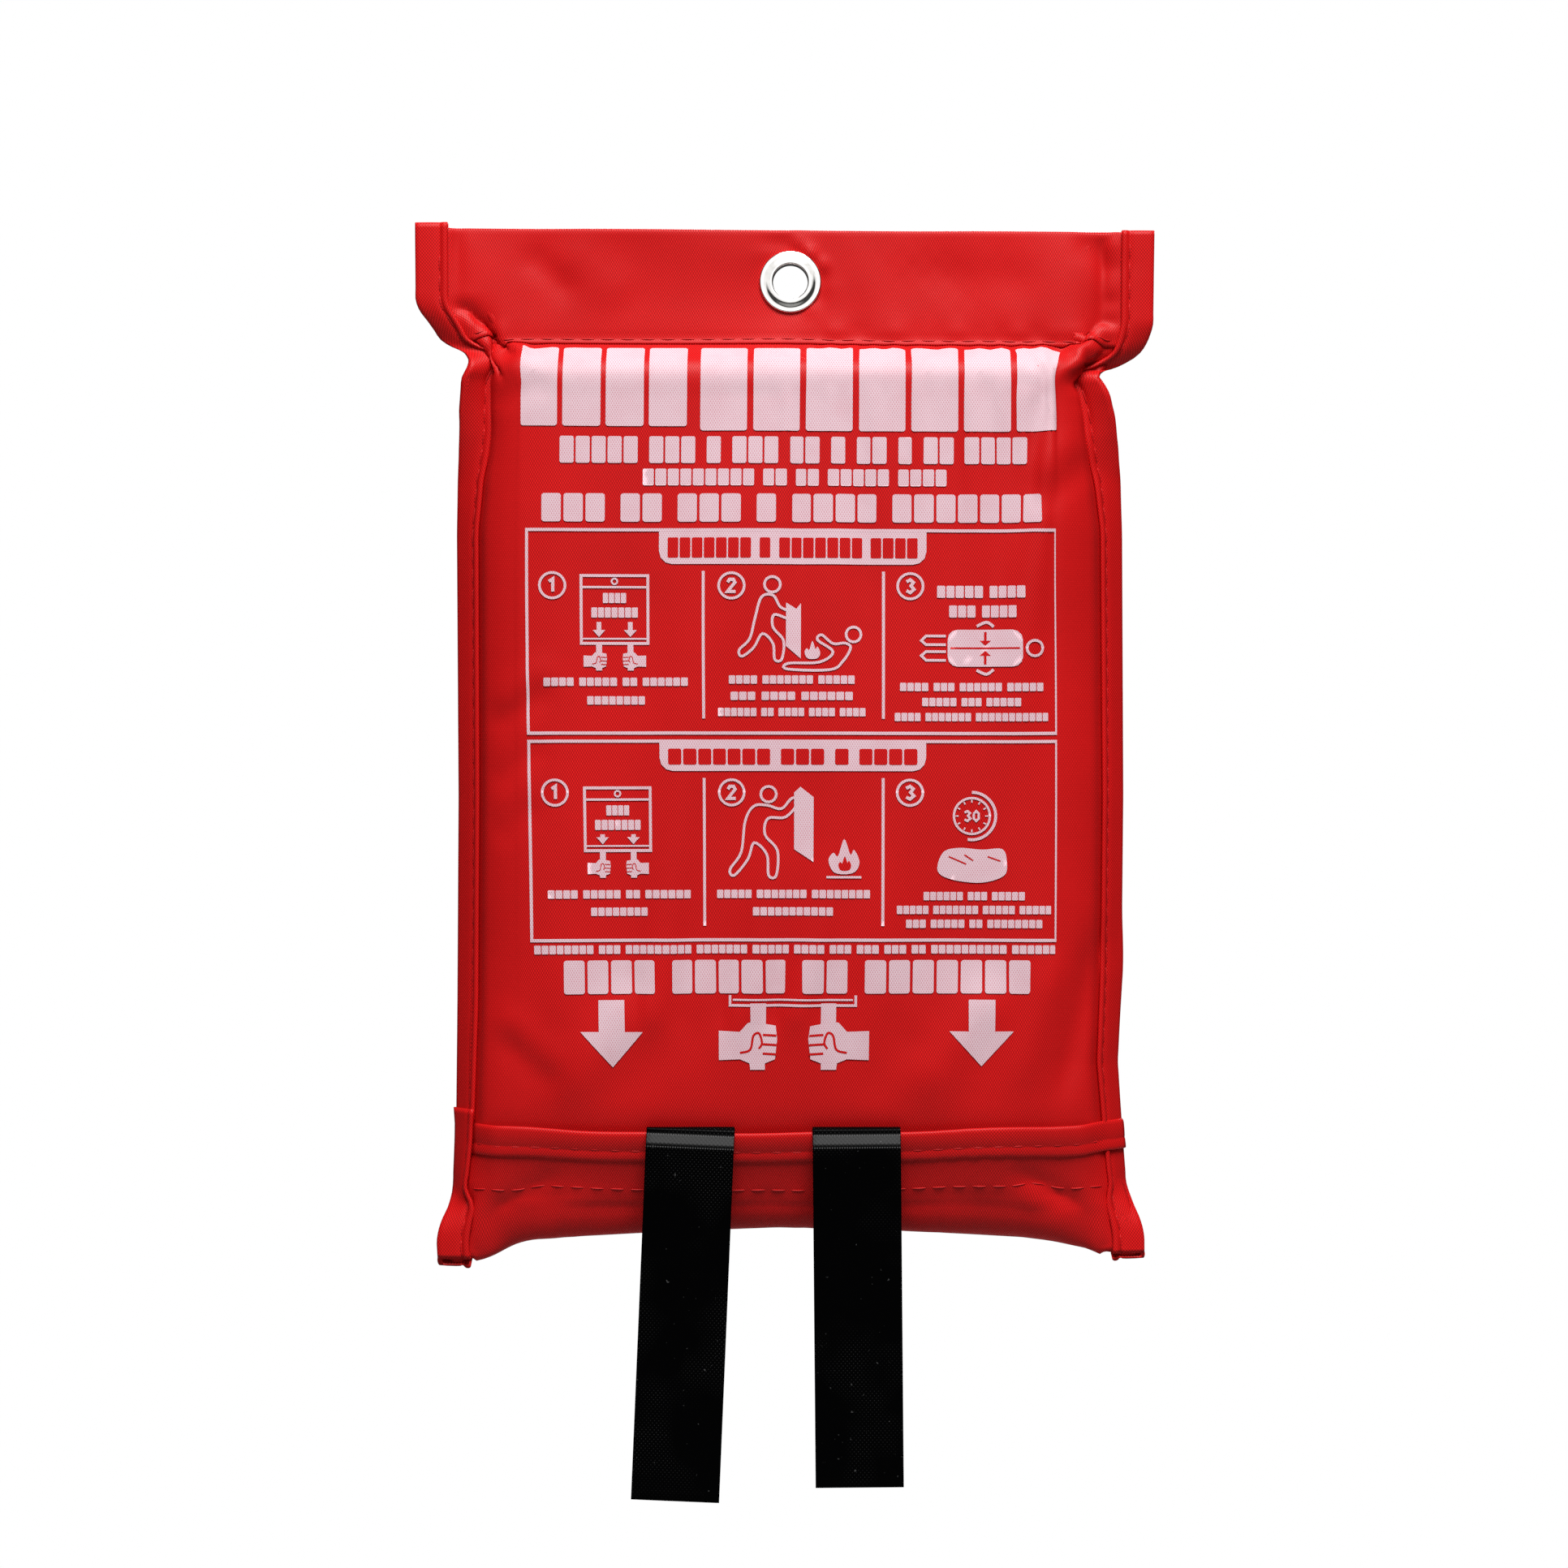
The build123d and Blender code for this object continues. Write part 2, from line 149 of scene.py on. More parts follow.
class Pattern:
    """The bag laid flat: one sheet in the header and side flanges, and two sheets between the seams."""

    def __init__(self):
        self.us, self.vs = pattern_lines()
        self.u, self.v = np.meshgrid(self.us, self.vs)
        inside = (np.abs(self.u) < STITCH - 0.01) & (self.v < SEAM_TOP - 0.01) & (self.v > FOLD + 0.01)
        count = self.u.size
        self.front = np.arange(count).reshape(self.u.shape)
        self.back = self.front.copy()
        self.back[inside] = count + np.arange(inside.sum())
        part = 4.0 * np.clip((STITCH - np.abs(self.u)) / 15, 0, 1)
        part = part * np.clip((SEAM_TOP - self.v) / 15, 0, 1) * np.clip((self.v - FOLD) / 15, 0, 1)
        part = np.where(inside, part, 0)
        sheet = np.stack([self.u, -part, self.v], axis=-1)
        behind = np.stack([self.u, part, self.v], axis=-1)
        self.points = np.concatenate([sheet.reshape(-1, 3), behind[inside]])

    def faces(self):
        """A front quad for each cell of the grid, and a back quad where there are two sheets."""
        found = []
        double = (np.abs(self.us[:-1] + self.us[1:]) < 2 * STITCH) & (self.vs[1:, None] < SEAM_TOP + 0.01)
        for r, c in np.ndindex(double.shape):
            cell = [(r, c), (r, c + 1), (r + 1, c + 1), (r + 1, c)]
            found.append([int(self.front[corner]) for corner in cell])
            if double[r, c]:
                found.append([int(self.back[corner]) for corner in cell[:1] + cell[:0:-1]])
        return found


def sewn_goals(pattern):
    """Where the sewn edges end up, and how firmly each point is held there."""
    goal, hold = pattern.points.copy(), np.zeros(len(pattern.points))
    u, v = pattern.points[:, 0], pattern.points[:, 2]

    def put(mask, x=None, y=None, z=None):
        hold[mask] = 1.0
        for axis, value in enumerate((x, y, z)):
            if value is not None:
                goal[mask, axis] = np.broadcast_to(value, u.shape)[mask]

    wave = 1.2 * np.sin(u / 21 + 0.6) * np.exp(-(((np.abs(u) - 60) / 40) ** 2))
    header_x, header_z = u * HEADER_SCALE + HEADER_SHIFT, HEADER_TOP - 0.5 + HEADER_TILT * u / HALF
    put(v > HEADER_TOP - 0.1, header_x, wave, header_z)
    put(np.hypot(u, v) < EYELET_HELD, u, 0.0, v)
    outer, inner = np.abs(u) > HALF - 0.1, np.abs(np.abs(u) - STITCH) < 0.1
    for sign, path in ((-1, LEFT_SEAM), (1, RIGHT_SEAM)):
        rows = np.array(path)[::-1]
        height, reach, turn = (np.interp(v, rows[:, 0], rows[:, k]) for k in (1, 2, 3))
        turn = np.radians(turn)
        seam_x, seam_y = reach - (FLANGE + EDGE_ROUND) * np.cos(turn), SEAM_Y
        side = u * sign > 0
        put(inner & side, sign * seam_x, seam_y, height)
        put(outer & side, sign * (seam_x + FLANGE * np.cos(turn)), seam_y + FLANGE * np.sin(turn), height)
    return goal, hold


# Each seam's course from top to bottom: the pattern height, the height in the sewn bag, the distance of the
# bound edge from the middle, and the flange's turn in degrees, backward if positive. The bag is pinched under
# its header.
LEFT_SEAM = (
    (17.5, 17.8, 129.5, 0), (-7.5, -8, 129.3, 2), (-14, -13.5, 125, 14), (-22, -19.5, 120.5, 26),
    (-28, -24, 113, 4), (-34, -28.5, 108.6, -46), (-40, -34, 111.6, -44), (-50, -44, 113.6, -24),
    (-60, -55, 114.4, 4), (-72, -68, 114.8, 30), (-90, -86, 115, 42), (-180, -177, 114.4, 44),
    (-250, -248, 114.8, 44), (-297, -297, 115.2, 52), (-311, -312, 115.6, 60), (-317, -318.5, 117.2, 34),
    (-324, -325, 120.8, 12), (-330, -331, 121.8, 9), (-337, -337, 121.4, 8),
)
RIGHT_SEAM = (
    (17.5, 16.2, 125.6, 0), (-14, -15, 125.2, 4), (-20, -20.5, 123.4, 16), (-26, -25, 119.4, 30),
    (-31, -29, 111, 24), (-36, -32.5, 105.6, -26), (-42, -38, 108.6, -34), (-52, -47.5, 111.8, -18),
    (-62, -57, 113.2, 6), (-74, -70, 114, 30), (-90, -86, 114.4, 42), (-180, -177, 114.8, 44),
    (-240, -238, 114.2, 44), (-270, -269, 112.9, 44), (-297, -296, 114.6, 48), (-311, -311, 115.6, 52),
    (-317, -317.5, 118, 30), (-324, -324, 121.2, 12), (-330, -329.5, 122.2, 9), (-337, -335, 122.2, 8),
)
EDGE_ROUND = 0.9


def ramp_key(owner, path, start, end, last):
    """Keys a value from start to end in a straight line over frames 1 to last."""
    for value, when in ((start, 1), (end, last)):
        setattr(owner, path, value)
        owner.keyframe_insert(path, frame=when)
    action = owner.id_data.animation_data.action
    for curve in action.fcurves:
        for key in curve.keyframe_points:
            key.interpolation = "LINEAR"


def stuffing_collider(last):
    """The folded blanket as a round-edged block, which swells between the two sheets."""
    size = np.array([2 * PACKET_HALF, PACKET_BACK - PACKET_FRONT, PACKET_TOP - PACKET_BOTTOM])
    size = size * MM * SIM_SCALE
    middle = np.array([0, (PACKET_BACK + PACKET_FRONT) / 2, (PACKET_TOP + PACKET_BOTTOM) / 2])
    middle = middle * MM * SIM_SCALE
    mesh = bpy.data.meshes.new("stuffing")
    bm = bmesh.new()
    bmesh.ops.create_cube(bm, size=1)
    bmesh.ops.scale(bm, vec=size, verts=bm.verts)
    knee = Vector((0, 0, TAPER_TOP * MM * SIM_SCALE - middle[2]))
    everything = bm.verts[:] + bm.edges[:] + bm.faces[:]
    bmesh.ops.bisect_plane(bm, geom=everything, plane_co=knee, plane_no=(0, 0, 1))
    for vert in bm.verts:
        if vert.co.z < knee.z - 0.01 and vert.co.y < 0:
            vert.co.y += TAPER * MM * SIM_SCALE
    around = PACKET_ROUND * MM * SIM_SCALE
    bmesh.ops.bevel(bm, geom=bm.edges[:], offset=around, segments=5, profile=0.5, affect="EDGES")
    bm.to_mesh(mesh)
    bm.free()
    block = linked("stuffing", mesh)
    block.location = middle
    block.modifiers.new("solid", "COLLISION")
    block.collision.thickness_outer = 0.005
    block.collision.cloth_friction = 2
    ramp_key(block, "scale", (0.96, 0.12, 0.97), (1, 1, 1), last)
    return block


def simulate_bag(pattern):
    """Draws the seams in while the stuffing swells, and returns the settled points."""
    scale = MM * SIM_SCALE
    mesh = bpy.data.meshes.new("bag")
    mesh.from_pydata((pattern.points * scale).tolist(), [], pattern.faces())
    bag = linked("bag", mesh)
    goal, hold = sewn_goals(pattern)
    swell = int(SIM_FRAMES * SWELL_SHARE)
    bag.shape_key_add(name="Basis")
    key = bag.shape_key_add(name="sewn")
    key.data.foreach_set("co", (goal * scale).ravel())
    ramp_key(key, "value", 0, 1, swell)
    group = bag.vertex_groups.new(name="sewn")
    group.add([int(i) for i in np.flatnonzero(hold)], 1.0, "REPLACE")
    block = stuffing_collider(swell)

    cloth = bag.modifiers.new("cloth", "CLOTH")
    s = cloth.settings
    s.vertex_group_mass = "sewn"
    s.pin_stiffness = 20
    s.quality = 8
    s.mass = 0.3
    s.tension_stiffness = s.compression_stiffness = 80
    s.shear_stiffness = 30
    s.bending_stiffness = 1.5
    s.tension_damping = s.compression_damping = s.shear_damping = 12
    s.bending_damping = 2
    s.air_damping = 2
    s.effector_weights.gravity = 0
    cloth.collision_settings.distance_min = 0.012
    cloth.collision_settings.collision_quality = 4
    cloth.collision_settings.use_self_collision = False
    cloth.point_cache.frame_end = SIM_FRAMES
    for number in range(1, SIM_FRAMES + 1):
        bpy.context.scene.frame_set(number)
    settled = bag.evaluated_get(bpy.context.evaluated_depsgraph_get()).to_mesh()
    points = np.empty(len(settled.vertices) * 3)
    settled.vertices.foreach_get("co", points)
    for thing in (bag, block):
        bpy.data.objects.remove(thing)
    bpy.context.scene.frame_set(1)
    return points.reshape(-1, 3) / scale


def curve_weights(t):
    """Catmull-Rom weights of the four points around a stretch, at its share t."""
    return (
        -0.5 * t + t**2 - 0.5 * t**3,
        1 - 2.5 * t**2 + 1.5 * t**3,
        0.5 * t + 2 * t**2 - 1.5 * t**3,
        -0.5 * t**2 + 0.5 * t**3,
    )


class Sheet:
    """The simulated cloth as one continuous surface over (u, w)."""

    def __init__(self, pattern, points):
        front, back = points[pattern.front], points[pattern.back]
        self.us = pattern.us
        rise = pattern.vs - FOLD
        self.ws = np.concatenate([-rise[:0:-1], rise])
        front = smoothed(seated(front, self.us), pattern.u, pattern.v)
        bag = np.concatenate([back[:0:-1], pressed(front)])
        self.points = rounded_bottom(bag, self.us, self.ws)

    def at(self, u, w):
        """Points by Catmull-Rom interpolation of the simulated grid."""
        u, w = np.broadcast_arrays(np.asarray(u, float), np.asarray(w, float))
        total = np.zeros(u.shape + (3,))
        c, c_weights = self._taps(u, self.us)
        r, r_weights = self._taps(w, self.ws)
        for i in range(4):
            row = np.clip(r + i - 1, 0, len(self.ws) - 1)
            for j in range(4):
                column = np.clip(c + j - 1, 0, len(self.us) - 1)
                total += self.points[row, column] * (r_weights[i] * c_weights[j])[..., None]
        return total

    @staticmethod
    def _taps(x, grid):
        place = np.interp(x, grid, np.arange(len(grid)))
        cell = np.clip(np.floor(place).astype(int), 0, len(grid) - 2)
        return cell, curve_weights(place - cell)

    def normal(self, u, w, reach=1.5):
        """The outward direction."""
        across = self.at(np.asarray(u) + reach, w) - self.at(np.asarray(u) - reach, w)
        up = self.at(u, np.asarray(w) + reach) - self.at(u, np.asarray(w) - reach)
        return unit(np.cross(across, up))

    def lifted(self, u, w, height):
        """Points raised off the sheet by height."""
        return self.at(u, w) + self.normal(u, w) * np.asarray(height)[..., None]


# --- What the simulation leaves out ---
# Soft folds in the front: x and z of both ends, half width, and height. Valleys have a negative height.
FOLDS = (
    (-94, 13, -72, -7, 5.0, -0.8), (-82, 15, -54, -9, 9.0, 0.7), (30, 4, 94, -1, 7.5, -0.6),
    (98, 17, 114, 0, 4.5, -1.1), (-105, -156, -80, -138, 4.6, -0.7), (-104, -148, -78, -130, 5.5, 0.6),
    (-104, -176, -82, -157, 4.6, -0.7), (-103, -194, -84, -178, 5.0, -0.6), (-103, -248, -76, -272, 6.0, 0.9),
    (-103, -256, -76, -280, 5.0, -0.7), (40, -286, 74, -236, 9.0, 1.7), (22, -284, 46, -252, 8.0, -0.5),
    (-82, -286, -48, -240, 9.0, 1.4), (-62, -284, -30, -246, 8.0, -0.4), (108, -214, 90, -290, 5.5, -1.9),
    (76, -284, 92, -226, 5.0, 1.0), (82, -81, 106, -60, 5.0, -0.8), (80, -70, 104, -50, 5.5, 0.7),
    (-106, -43, -78, -34, 4.6, -0.7), (72, -302, 106, -320, 3.4, -1.1), (76, -310, 104, -330, 3.4, 1.0),
    (46, -316, 84, -334, 5.0, 0.9), (-106, -322, -76, -303, 3.6, -1.0), (-100, -332, -66, -312, 4.5, 0.9),
)
# The bottom fold's course, as x and z.
BOTTOM_EDGE = (
    (-112, -337), (-106, -336), (-100, -333.4), (-95, -331.2), (-90, -329.6), (-70, -328.2), (-40, -326.6),
    (-5, -325.3), (30, -326.2), (55, -327.2), (80, -328.8), (90, -330), (100, -332), (112, -335),
)
PILLOW, TOE = 0.30, 5.0
BOTTOM_TURN = 14.0


def pillow(x, y, z):
    """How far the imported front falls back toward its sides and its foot."""
    start = 78 - 14 * smooth((-215 - z) / 75)
    sides = (SEAM_Y - np.minimum(y, SEAM_Y)) * PILLOW * smooth((np.abs(x) - start) / 32)
    return sides + TOE * smooth((-283 - z) / 36) * np.clip(-y / 11, 0, 1)


def pressed(points):
    """The front with the header's bulge, the packet's round edges and the soft folds."""
    x, y, z = np.moveaxis(points, -1, 0)
    bulge = 0.2 * smooth((-6 - 5 * np.exp(-((x / 16) ** 2)) - z) / 12) * smooth((z + 48) / 26)
    relief = bulge * smooth((105 - np.abs(x)) / 20)
    for x0, z0, x1, z1, half, height in FOLDS:
        length = np.hypot(x1 - x0, z1 - z0)
        along = ((x - x0) * (x1 - x0) + (z - z0) * (z1 - z0)) / length**2
        off = ((x - x0) * (z1 - z0) - (z - z0) * (x1 - x0)) / length
        ends = smooth(along / 0.3) * smooth((1 - along) / 0.3)
        relief = relief + height * np.exp(-((off / half) ** 2)) * ends
    moved = points.copy()
    moved[..., 1] = y + pillow(x, y, z) - relief
    return moved


def seated(points, us):
    """The front with its slack drawn in, so the cloth meets each side seam in a valley."""
    drawn = points.copy()
    shoulder = 88.0
    for sign in (-1, 1):
        top, seam = int(np.argmin(np.abs(us - sign * shoulder))), int(np.argmin(np.abs(us - sign * STITCH)))
        for column in range(min(top, seam), max(top, seam) + 1):
            t = (us[column] - us[top]) / (us[seam] - us[top])
            goal = points[:, top] + (points[:, seam] - points[:, top]) * t
            goal[:, 1] = SEAM_Y + (points[:, top, 1] - SEAM_Y) * np.sqrt(1 - t**2.4)
            z = points[:, column, 2]
            share = smooth(t / 0.3) * smooth((-24 - z) / 14) * smooth((z + 322) / 14)
            drawn[:, column] += (goal - points[:, column]) * share[:, None]
    return drawn


def eased(points, share, passes):
    """Points drawn toward the average of their neighbours, by share."""
    for _ in range(passes):
        around = sum(np.roll(points, step, axis) for step in (-1, 1) for axis in (0, 1)) / 4
        points = points + (around - points) * share[..., None]
    return points


def smoothed(points, u, v):
    """The front with a smooth foot where the flap lies, and with fainter folds in the header."""
    foot = smooth((96 - np.abs(u)) / 14) * smooth((v - FOLD) / 8) * smooth((FOLD + 84 - v) / 24)
    header = smooth((112 - np.abs(u)) / 10) * smooth((v - SEAM_TOP - 2) / 8) * smooth((HEADER_TOP - v) / 5)
    header = header * smooth((np.hypot(u, v) - 12) / 8)
    return eased(eased(points, foot, 12), header, 4)


def rounded_bottom(points, us, ws):
    """The bag with a smooth round bottom in place of the slack gathered there."""
    low, high = int(np.argmin(np.abs(ws + BOTTOM_TURN))), int(np.argmin(np.abs(ws - BOTTOM_TURN)))
    back, front = points[low], points[high]
    edge = np.interp(points[high, :, 0], *np.array(BOTTOM_EDGE).T)
    share = smooth((STITCH - np.abs(us)) / 7)[:, None]
    turned = points.copy()
    for row in range(low, high + 1):
        a = (ws[row] - ws[low]) / (ws[high] - ws[low]) * pi
        goal = back + (front - back) * (1 - cos(a)) / 2
        goal[:, 2] += (edge - (front[:, 2] + back[:, 2]) / 2) * sin(a)
        turned[row] += (goal - points[row]) * share
    return turned


# --- Mesh helpers ---
def new_object(name, points, faces, material, uvs=None):
    """A smooth-shaded mesh object from points in millimetres. uvs gives each point its place in the weave."""
    mesh = bpy.data.meshes.new(name)
    mesh.from_pydata((np.reshape(points, (-1, 3)) * MM).tolist(), [], [tuple(map(int, f)) for f in faces])
    mesh.materials.append(material)
    mesh.polygons.foreach_set("use_smooth", [True] * len(mesh.polygons))
    if uvs is not None:
        layer = mesh.uv_layers.new(name="weave")
        corner = np.empty(len(mesh.loops), int)
        mesh.loops.foreach_get("vertex_index", corner)
        layer.data.foreach_set("uv", (np.reshape(uvs, (-1, 2))[corner] * MM).ravel())
    return linked(name, mesh)


def grid_faces(rows, columns, closed=False, keep=None):
    """Quads over a grid of points. closed joins the last column to the first."""
    found = []
    for r in range(rows - 1):
        for c in range(columns if closed else columns - 1):
            d = (c + 1) % columns
            if keep is None or keep[r, c]:
                found.append((r * columns + c, r * columns + d, (r + 1) * columns + d, (r + 1) * columns + c))
    return found


def tube_faces(rows, columns):
    """Quads round a closed tube, and its flat ends."""
    ends = [tuple(range(columns))[::-1], tuple(range((rows - 1) * columns, rows * columns))]
    return grid_faces(rows, columns, closed=True) + ends


def thicken(thing, thickness, offset=-1):
    """Gives a sheet its thickness, on the side away from its normals."""
    solid = thing.modifiers.new("thickness", "SOLIDIFY")
    solid.thickness, solid.offset = thickness * MM, offset
    mesh = bpy.data.meshes.new_from_object(thing.evaluated_get(bpy.context.evaluated_depsgraph_get()))
    thing.modifiers.clear()
    thing.data = mesh
    return thing


def steps(start, end, size):
    """Even steps from start to end, each about size long."""
    return np.linspace(start, end, max(2, round(abs(end - start) / size) + 1))


def unit(v):
    return v / np.linalg.norm(v, axis=-1, keepdims=True)


def pairs(a, b):
    """Two arrays as one array of pairs."""
    return np.stack(np.broadcast_arrays(a, b), axis=-1)


def travelled(points):
    """The distance run at each point of a line."""
    return np.concatenate([[0], np.cumsum(np.linalg.norm(np.diff(points, axis=0), axis=1))])


def cloth_grid(low, high):
    """The u and w of a piece as wide as the bag, between two w."""
    return np.meshgrid(steps(-CLOTH_EDGE, CLOTH_EDGE, PIECE_STEP), steps(low, high, PIECE_STEP))


def laid(name, u, w, height, material, thickness=CLOTH, keep=None):
    """A piece of cloth on the simulated sheet, over a grid of u and w, with its outer face at a height."""
    faces = grid_faces(*u.shape, keep=keep)
    return thicken(new_object(name, sheet.lifted(u, w, height), faces, material, pairs(u, w)), thickness)


def tube(name, rings, material, uvs):
    """A closed skin over rings of points."""
    thing = new_object(name, rings, tube_faces(*rings.shape[:2]), material, uvs)
    bm = bmesh.new()
    bm.from_mesh(thing.data)
    bmesh.ops.recalc_face_normals(bm, faces=bm.faces)
    bm.to_mesh(thing.data)
    bm.free()
    return thing


def sweep(name, frames, profile, material):
    """A profile of (along d, along n) carried along frames of (origin, d, n)."""
    profile = np.array(profile)
    origin, d, n = (np.array(column)[:, None] for column in zip(*frames))
    rings = origin + profile[:, :1] * d + profile[:, 1:] * n
    return tube(name, rings, material, pairs(travelled(profile), travelled(origin[:, 0])[:, None]))


# --- Materials ---
class Nodes:
    """A short way to build a node material."""

    def __init__(self, name):
        self.material = bpy.data.materials.new(name)
        self.material.use_nodes = True
        self.tree = self.material.node_tree
        self.shader = self.tree.nodes["Principled BSDF"]
        self.place = self.add("ShaderNodeTexCoord").outputs["Object"]

    def add(self, kind, inputs=(), **settings):
        node = self.tree.nodes.new(kind)
        for key, value in settings.items():
            setattr(node, key, value)
        for key, value in dict(inputs).items():
            self.feed(node.inputs[key], value)
        return node

    def feed(self, socket, value):
        if isinstance(value, bpy.types.NodeSocket):
            self.tree.links.new(value, socket)
        else:
            socket.default_value = value

    def math(self, operation, a, b=0.0, c=0.5):
        return self.add("ShaderNodeMath", {0: a, 1: b, 2: c}, operation=operation).outputs[0]

    def mix(self, factor, a, b, blend="MIX"):
        inputs = {0: factor, 6: a, 7: b}
        return self.add("ShaderNodeMix", inputs, data_type="RGBA", blend_type=blend).outputs[2]

    def noise(self, scale, detail=3.0):
        inputs = {"Vector": self.place, "Scale": scale, "Detail": detail}
        return self.add("ShaderNodeTexNoise", inputs).outputs["Fac"]

    def weave_place(self):
        """How far a point lies across and along its cloth, in metres."""
        uv = self.add("ShaderNodeUVMap", uv_map="weave").outputs["UV"]
        return self.add("ShaderNodeSeparateXYZ", {0: uv}).outputs[:2]

    def spread(self, value, low, high, to_low, to_high):
        return self.add("ShaderNodeMapRange", dict(enumerate((value, low, high, to_low, to_high)))).outputs[0]

    def bumped(self, height, strength, distance):
        """Raises the surface by a height. distance is in millimetres."""
        bump = self.add("ShaderNodeBump", {"Height": height, "Strength": strength, "Distance": distance * MM})
        self.surface(Normal=bump.outputs[0])

    def surface(self, **inputs):
        for key, value in inputs.items():
            self.feed(self.shader.inputs[key.replace("_", " ")], value)
        return self.material


def weave_height(n, pitch):
    """Thread crowns of a plain weave, from 0 in the gaps to 1 on the crowns. pitch is (across, along)."""
    waves = [n.math("SINE", n.math("MULTIPLY", way, pi / (p * MM))) for way, p in zip(n.weave_place(), pitch)]
    return n.spread(n.math("MULTIPLY", *waves), -1, 1, 0, 1)


def woven(name, color, pitch=WEAVE, roughness=0.42, depth=0.09, gap_shade=0.62, shine=0.14):
    """Coated woven cloth: gaps painted darker as painted shade, crowns painted brighter as painted
    highlights, slow shifts of tone, and fine bumps.
    """
    n = Nodes(name)
    height = weave_height(n, pitch)
    tone = n.spread(n.noise(22.0), 0.3, 0.7, 0.93, 1.05)
    # Painted shade in the gaps between threads, and painted highlights on the thread crowns.
    painted_gap_shade = [c * gap_shade for c in color] + [1]
    light = [min(1.0, c * 1.5 + 0.006) for c in color] + [1]
    base = n.mix(n.math("POWER", height, 1.7), painted_gap_shade, light)
    toned = n.mix(1.0, base, tone, "MULTIPLY")
    n.bumped(n.math("ADD", height, n.math("MULTIPLY", n.noise(900.0, 2.0), 0.35)), 0.55, depth)
    rough = n.spread(height, 0, 1, roughness + 0.12, roughness - 0.05)
    return n.surface(Base_Color=toned, Roughness=rough, Specular_IOR_Level=shine)


def thread_material(name, color):
    """Twisted sewing thread."""
    n = Nodes(name)
    wave = n.add("ShaderNodeTexWave", {"Vector": n.place, "Scale": 900.0}, bands_direction="DIAGONAL")
    twist = wave.outputs["Fac"]
    # Along the twist the grooves are painted darker and the ridges lighter, as painted shade and highlight.
    base = n.mix(twist, [c * 0.85 for c in color] + [1], [min(1, c * 1.1) for c in color] + [1])
    n.bumped(twist, 0.4, 0.05)
    return n.surface(Base_Color=base, Roughness=0.5, Specular_IOR_Level=0.25)


def ink_material(name, color, show_through):
    """Screen print that lets the weave's gaps show through as fine dots."""
    n = Nodes(name)
    height = weave_height(n, WEAVE)
    wear_and_glare = n.spread(n.noise(90.0, 6.0), 0.3, 0.6, 0.0, 0.12)
    cover = n.math("ADD", n.spread(height, 0.0, 0.55, 0.0, 0.9), wear_and_glare)
    n.bumped(height, 0.5, 0.07)
    base = n.mix(cover, [*show_through, 1], [*color, 1])
    return n.surface(Base_Color=base, Roughness=0.55, Specular_IOR_Level=0.2)


# The direction of a white front wall. It is not in the scene, and is only painted into the nickel as a
# reflection.
PAINTED_WALL_DIRECTION = (-0.05, -0.9, 0.43)


def nickel_material():
    """Polished plate with faint rubbed streaks, and a painted reflection of a white front wall that is not in
    the scene: the plate glows where its reflection points toward that wall.
    """
    n = Nodes("polished_nickel")
    streak = n.noise(420.0, 5.0)
    n.bumped(streak, 0.08, 0.1)
    mirrored = n.place.node.outputs["Reflection"]
    toward = n.add("ShaderNodeVectorMath", {0: mirrored, 1: PAINTED_WALL_DIRECTION}, operation="DOT_PRODUCT")
    # Painted reflection: emission where the reflection points toward the front wall, varied along the rubbed
    # streaks.
    painted_wall_reflection = n.spread(toward.outputs["Value"], 0.72, 0.80, 0.0, 0.85)
    painted_wall_reflection = n.math("MULTIPLY", painted_wall_reflection, n.spread(streak, 0.3, 0.7, 0.9, 1.1))
    n.surface(Emission_Color=[1.0, 0.98, 0.95, 1], Emission_Strength=painted_wall_reflection)
    rough = n.spread(streak, 0.3, 0.7, 0.1, 0.2)
    return n.surface(Base_Color=[0.72, 0.71, 0.68, 1], Metallic=1.0, Roughness=rough)


def webbing_material():
    """Black coated webbing: small raised dots, dust specks, thread crowns painted lighter in patches as
    painted glare, and two rows of light dots at the fold painted as glints at the edges of its highlight.
    """
    n = Nodes("black_webbing")
    height = weave_height(n, (0.7, 0.79))
    specks = n.spread(n.noise(700.0, 2.0), 0.73, 0.78, 0.0, 0.35)
    patches = n.spread(n.noise(30.0), 0.45, 0.6, 0.0, 1.0)
    # Painted glare: thread crowns painted lighter in patches.
    wear_and_glare = n.math("MULTIPLY", n.spread(height, 0.8, 1.0, 0.0, 0.16), patches)
    across, along = n.weave_place()
    # Painted glints: two rows of light dots at the edges of the fold's highlight band.
    beat = n.math("GREATER_THAN", n.math("SINE", n.math("MULTIPLY", across, 2 * pi / (0.85 * MM))), 0.0)
    upper, lower = (n.math("COMPARE", along, line * MM, 0.2 * MM) for line in (3.9, 8.4))
    painted_glint_dots = n.math("MULTIPLY", n.math("MULTIPLY", n.math("ADD", upper, lower), beat), 0.45)
    light = n.math("MAXIMUM", n.math("MAXIMUM", specks, wear_and_glare), painted_glint_dots)
    pressed_flat = n.math("COMPARE", along, 6.15 * MM, 2.2 * MM)
    n.bumped(height, 0.5, 0.05)
    shine = n.spread(pressed_flat, 0, 1, 0.015, 0.06)
    base = n.mix(light, [0.0008, 0.0008, 0.0009, 1], [0.14, 0.14, 0.14, 1])
    return n.surface(Base_Color=base, Roughness=0.3, Specular_IOR_Level=shine)


def closure_material(name, hooks):
    """Touch-and-close tape: rows of stiff hooks, or a mat of soft loops."""
    n = Nodes(name)
    if hooks:
        pile = n.add("ShaderNodeTexVoronoi", {"Vector": n.place, "Scale": 900.0}).outputs["Distance"]
    else:
        pile = n.noise(1400.0, 6.0)
    n.bumped(pile, 1.0, 0.4)
    base = n.mix(pile, [0.012, 0.012, 0.013, 1], [0.06, 0.06, 0.062, 1])
    return n.surface(Base_Color=base, Roughness=0.7, Sheen_Weight=0.0 if hooks else 0.4)


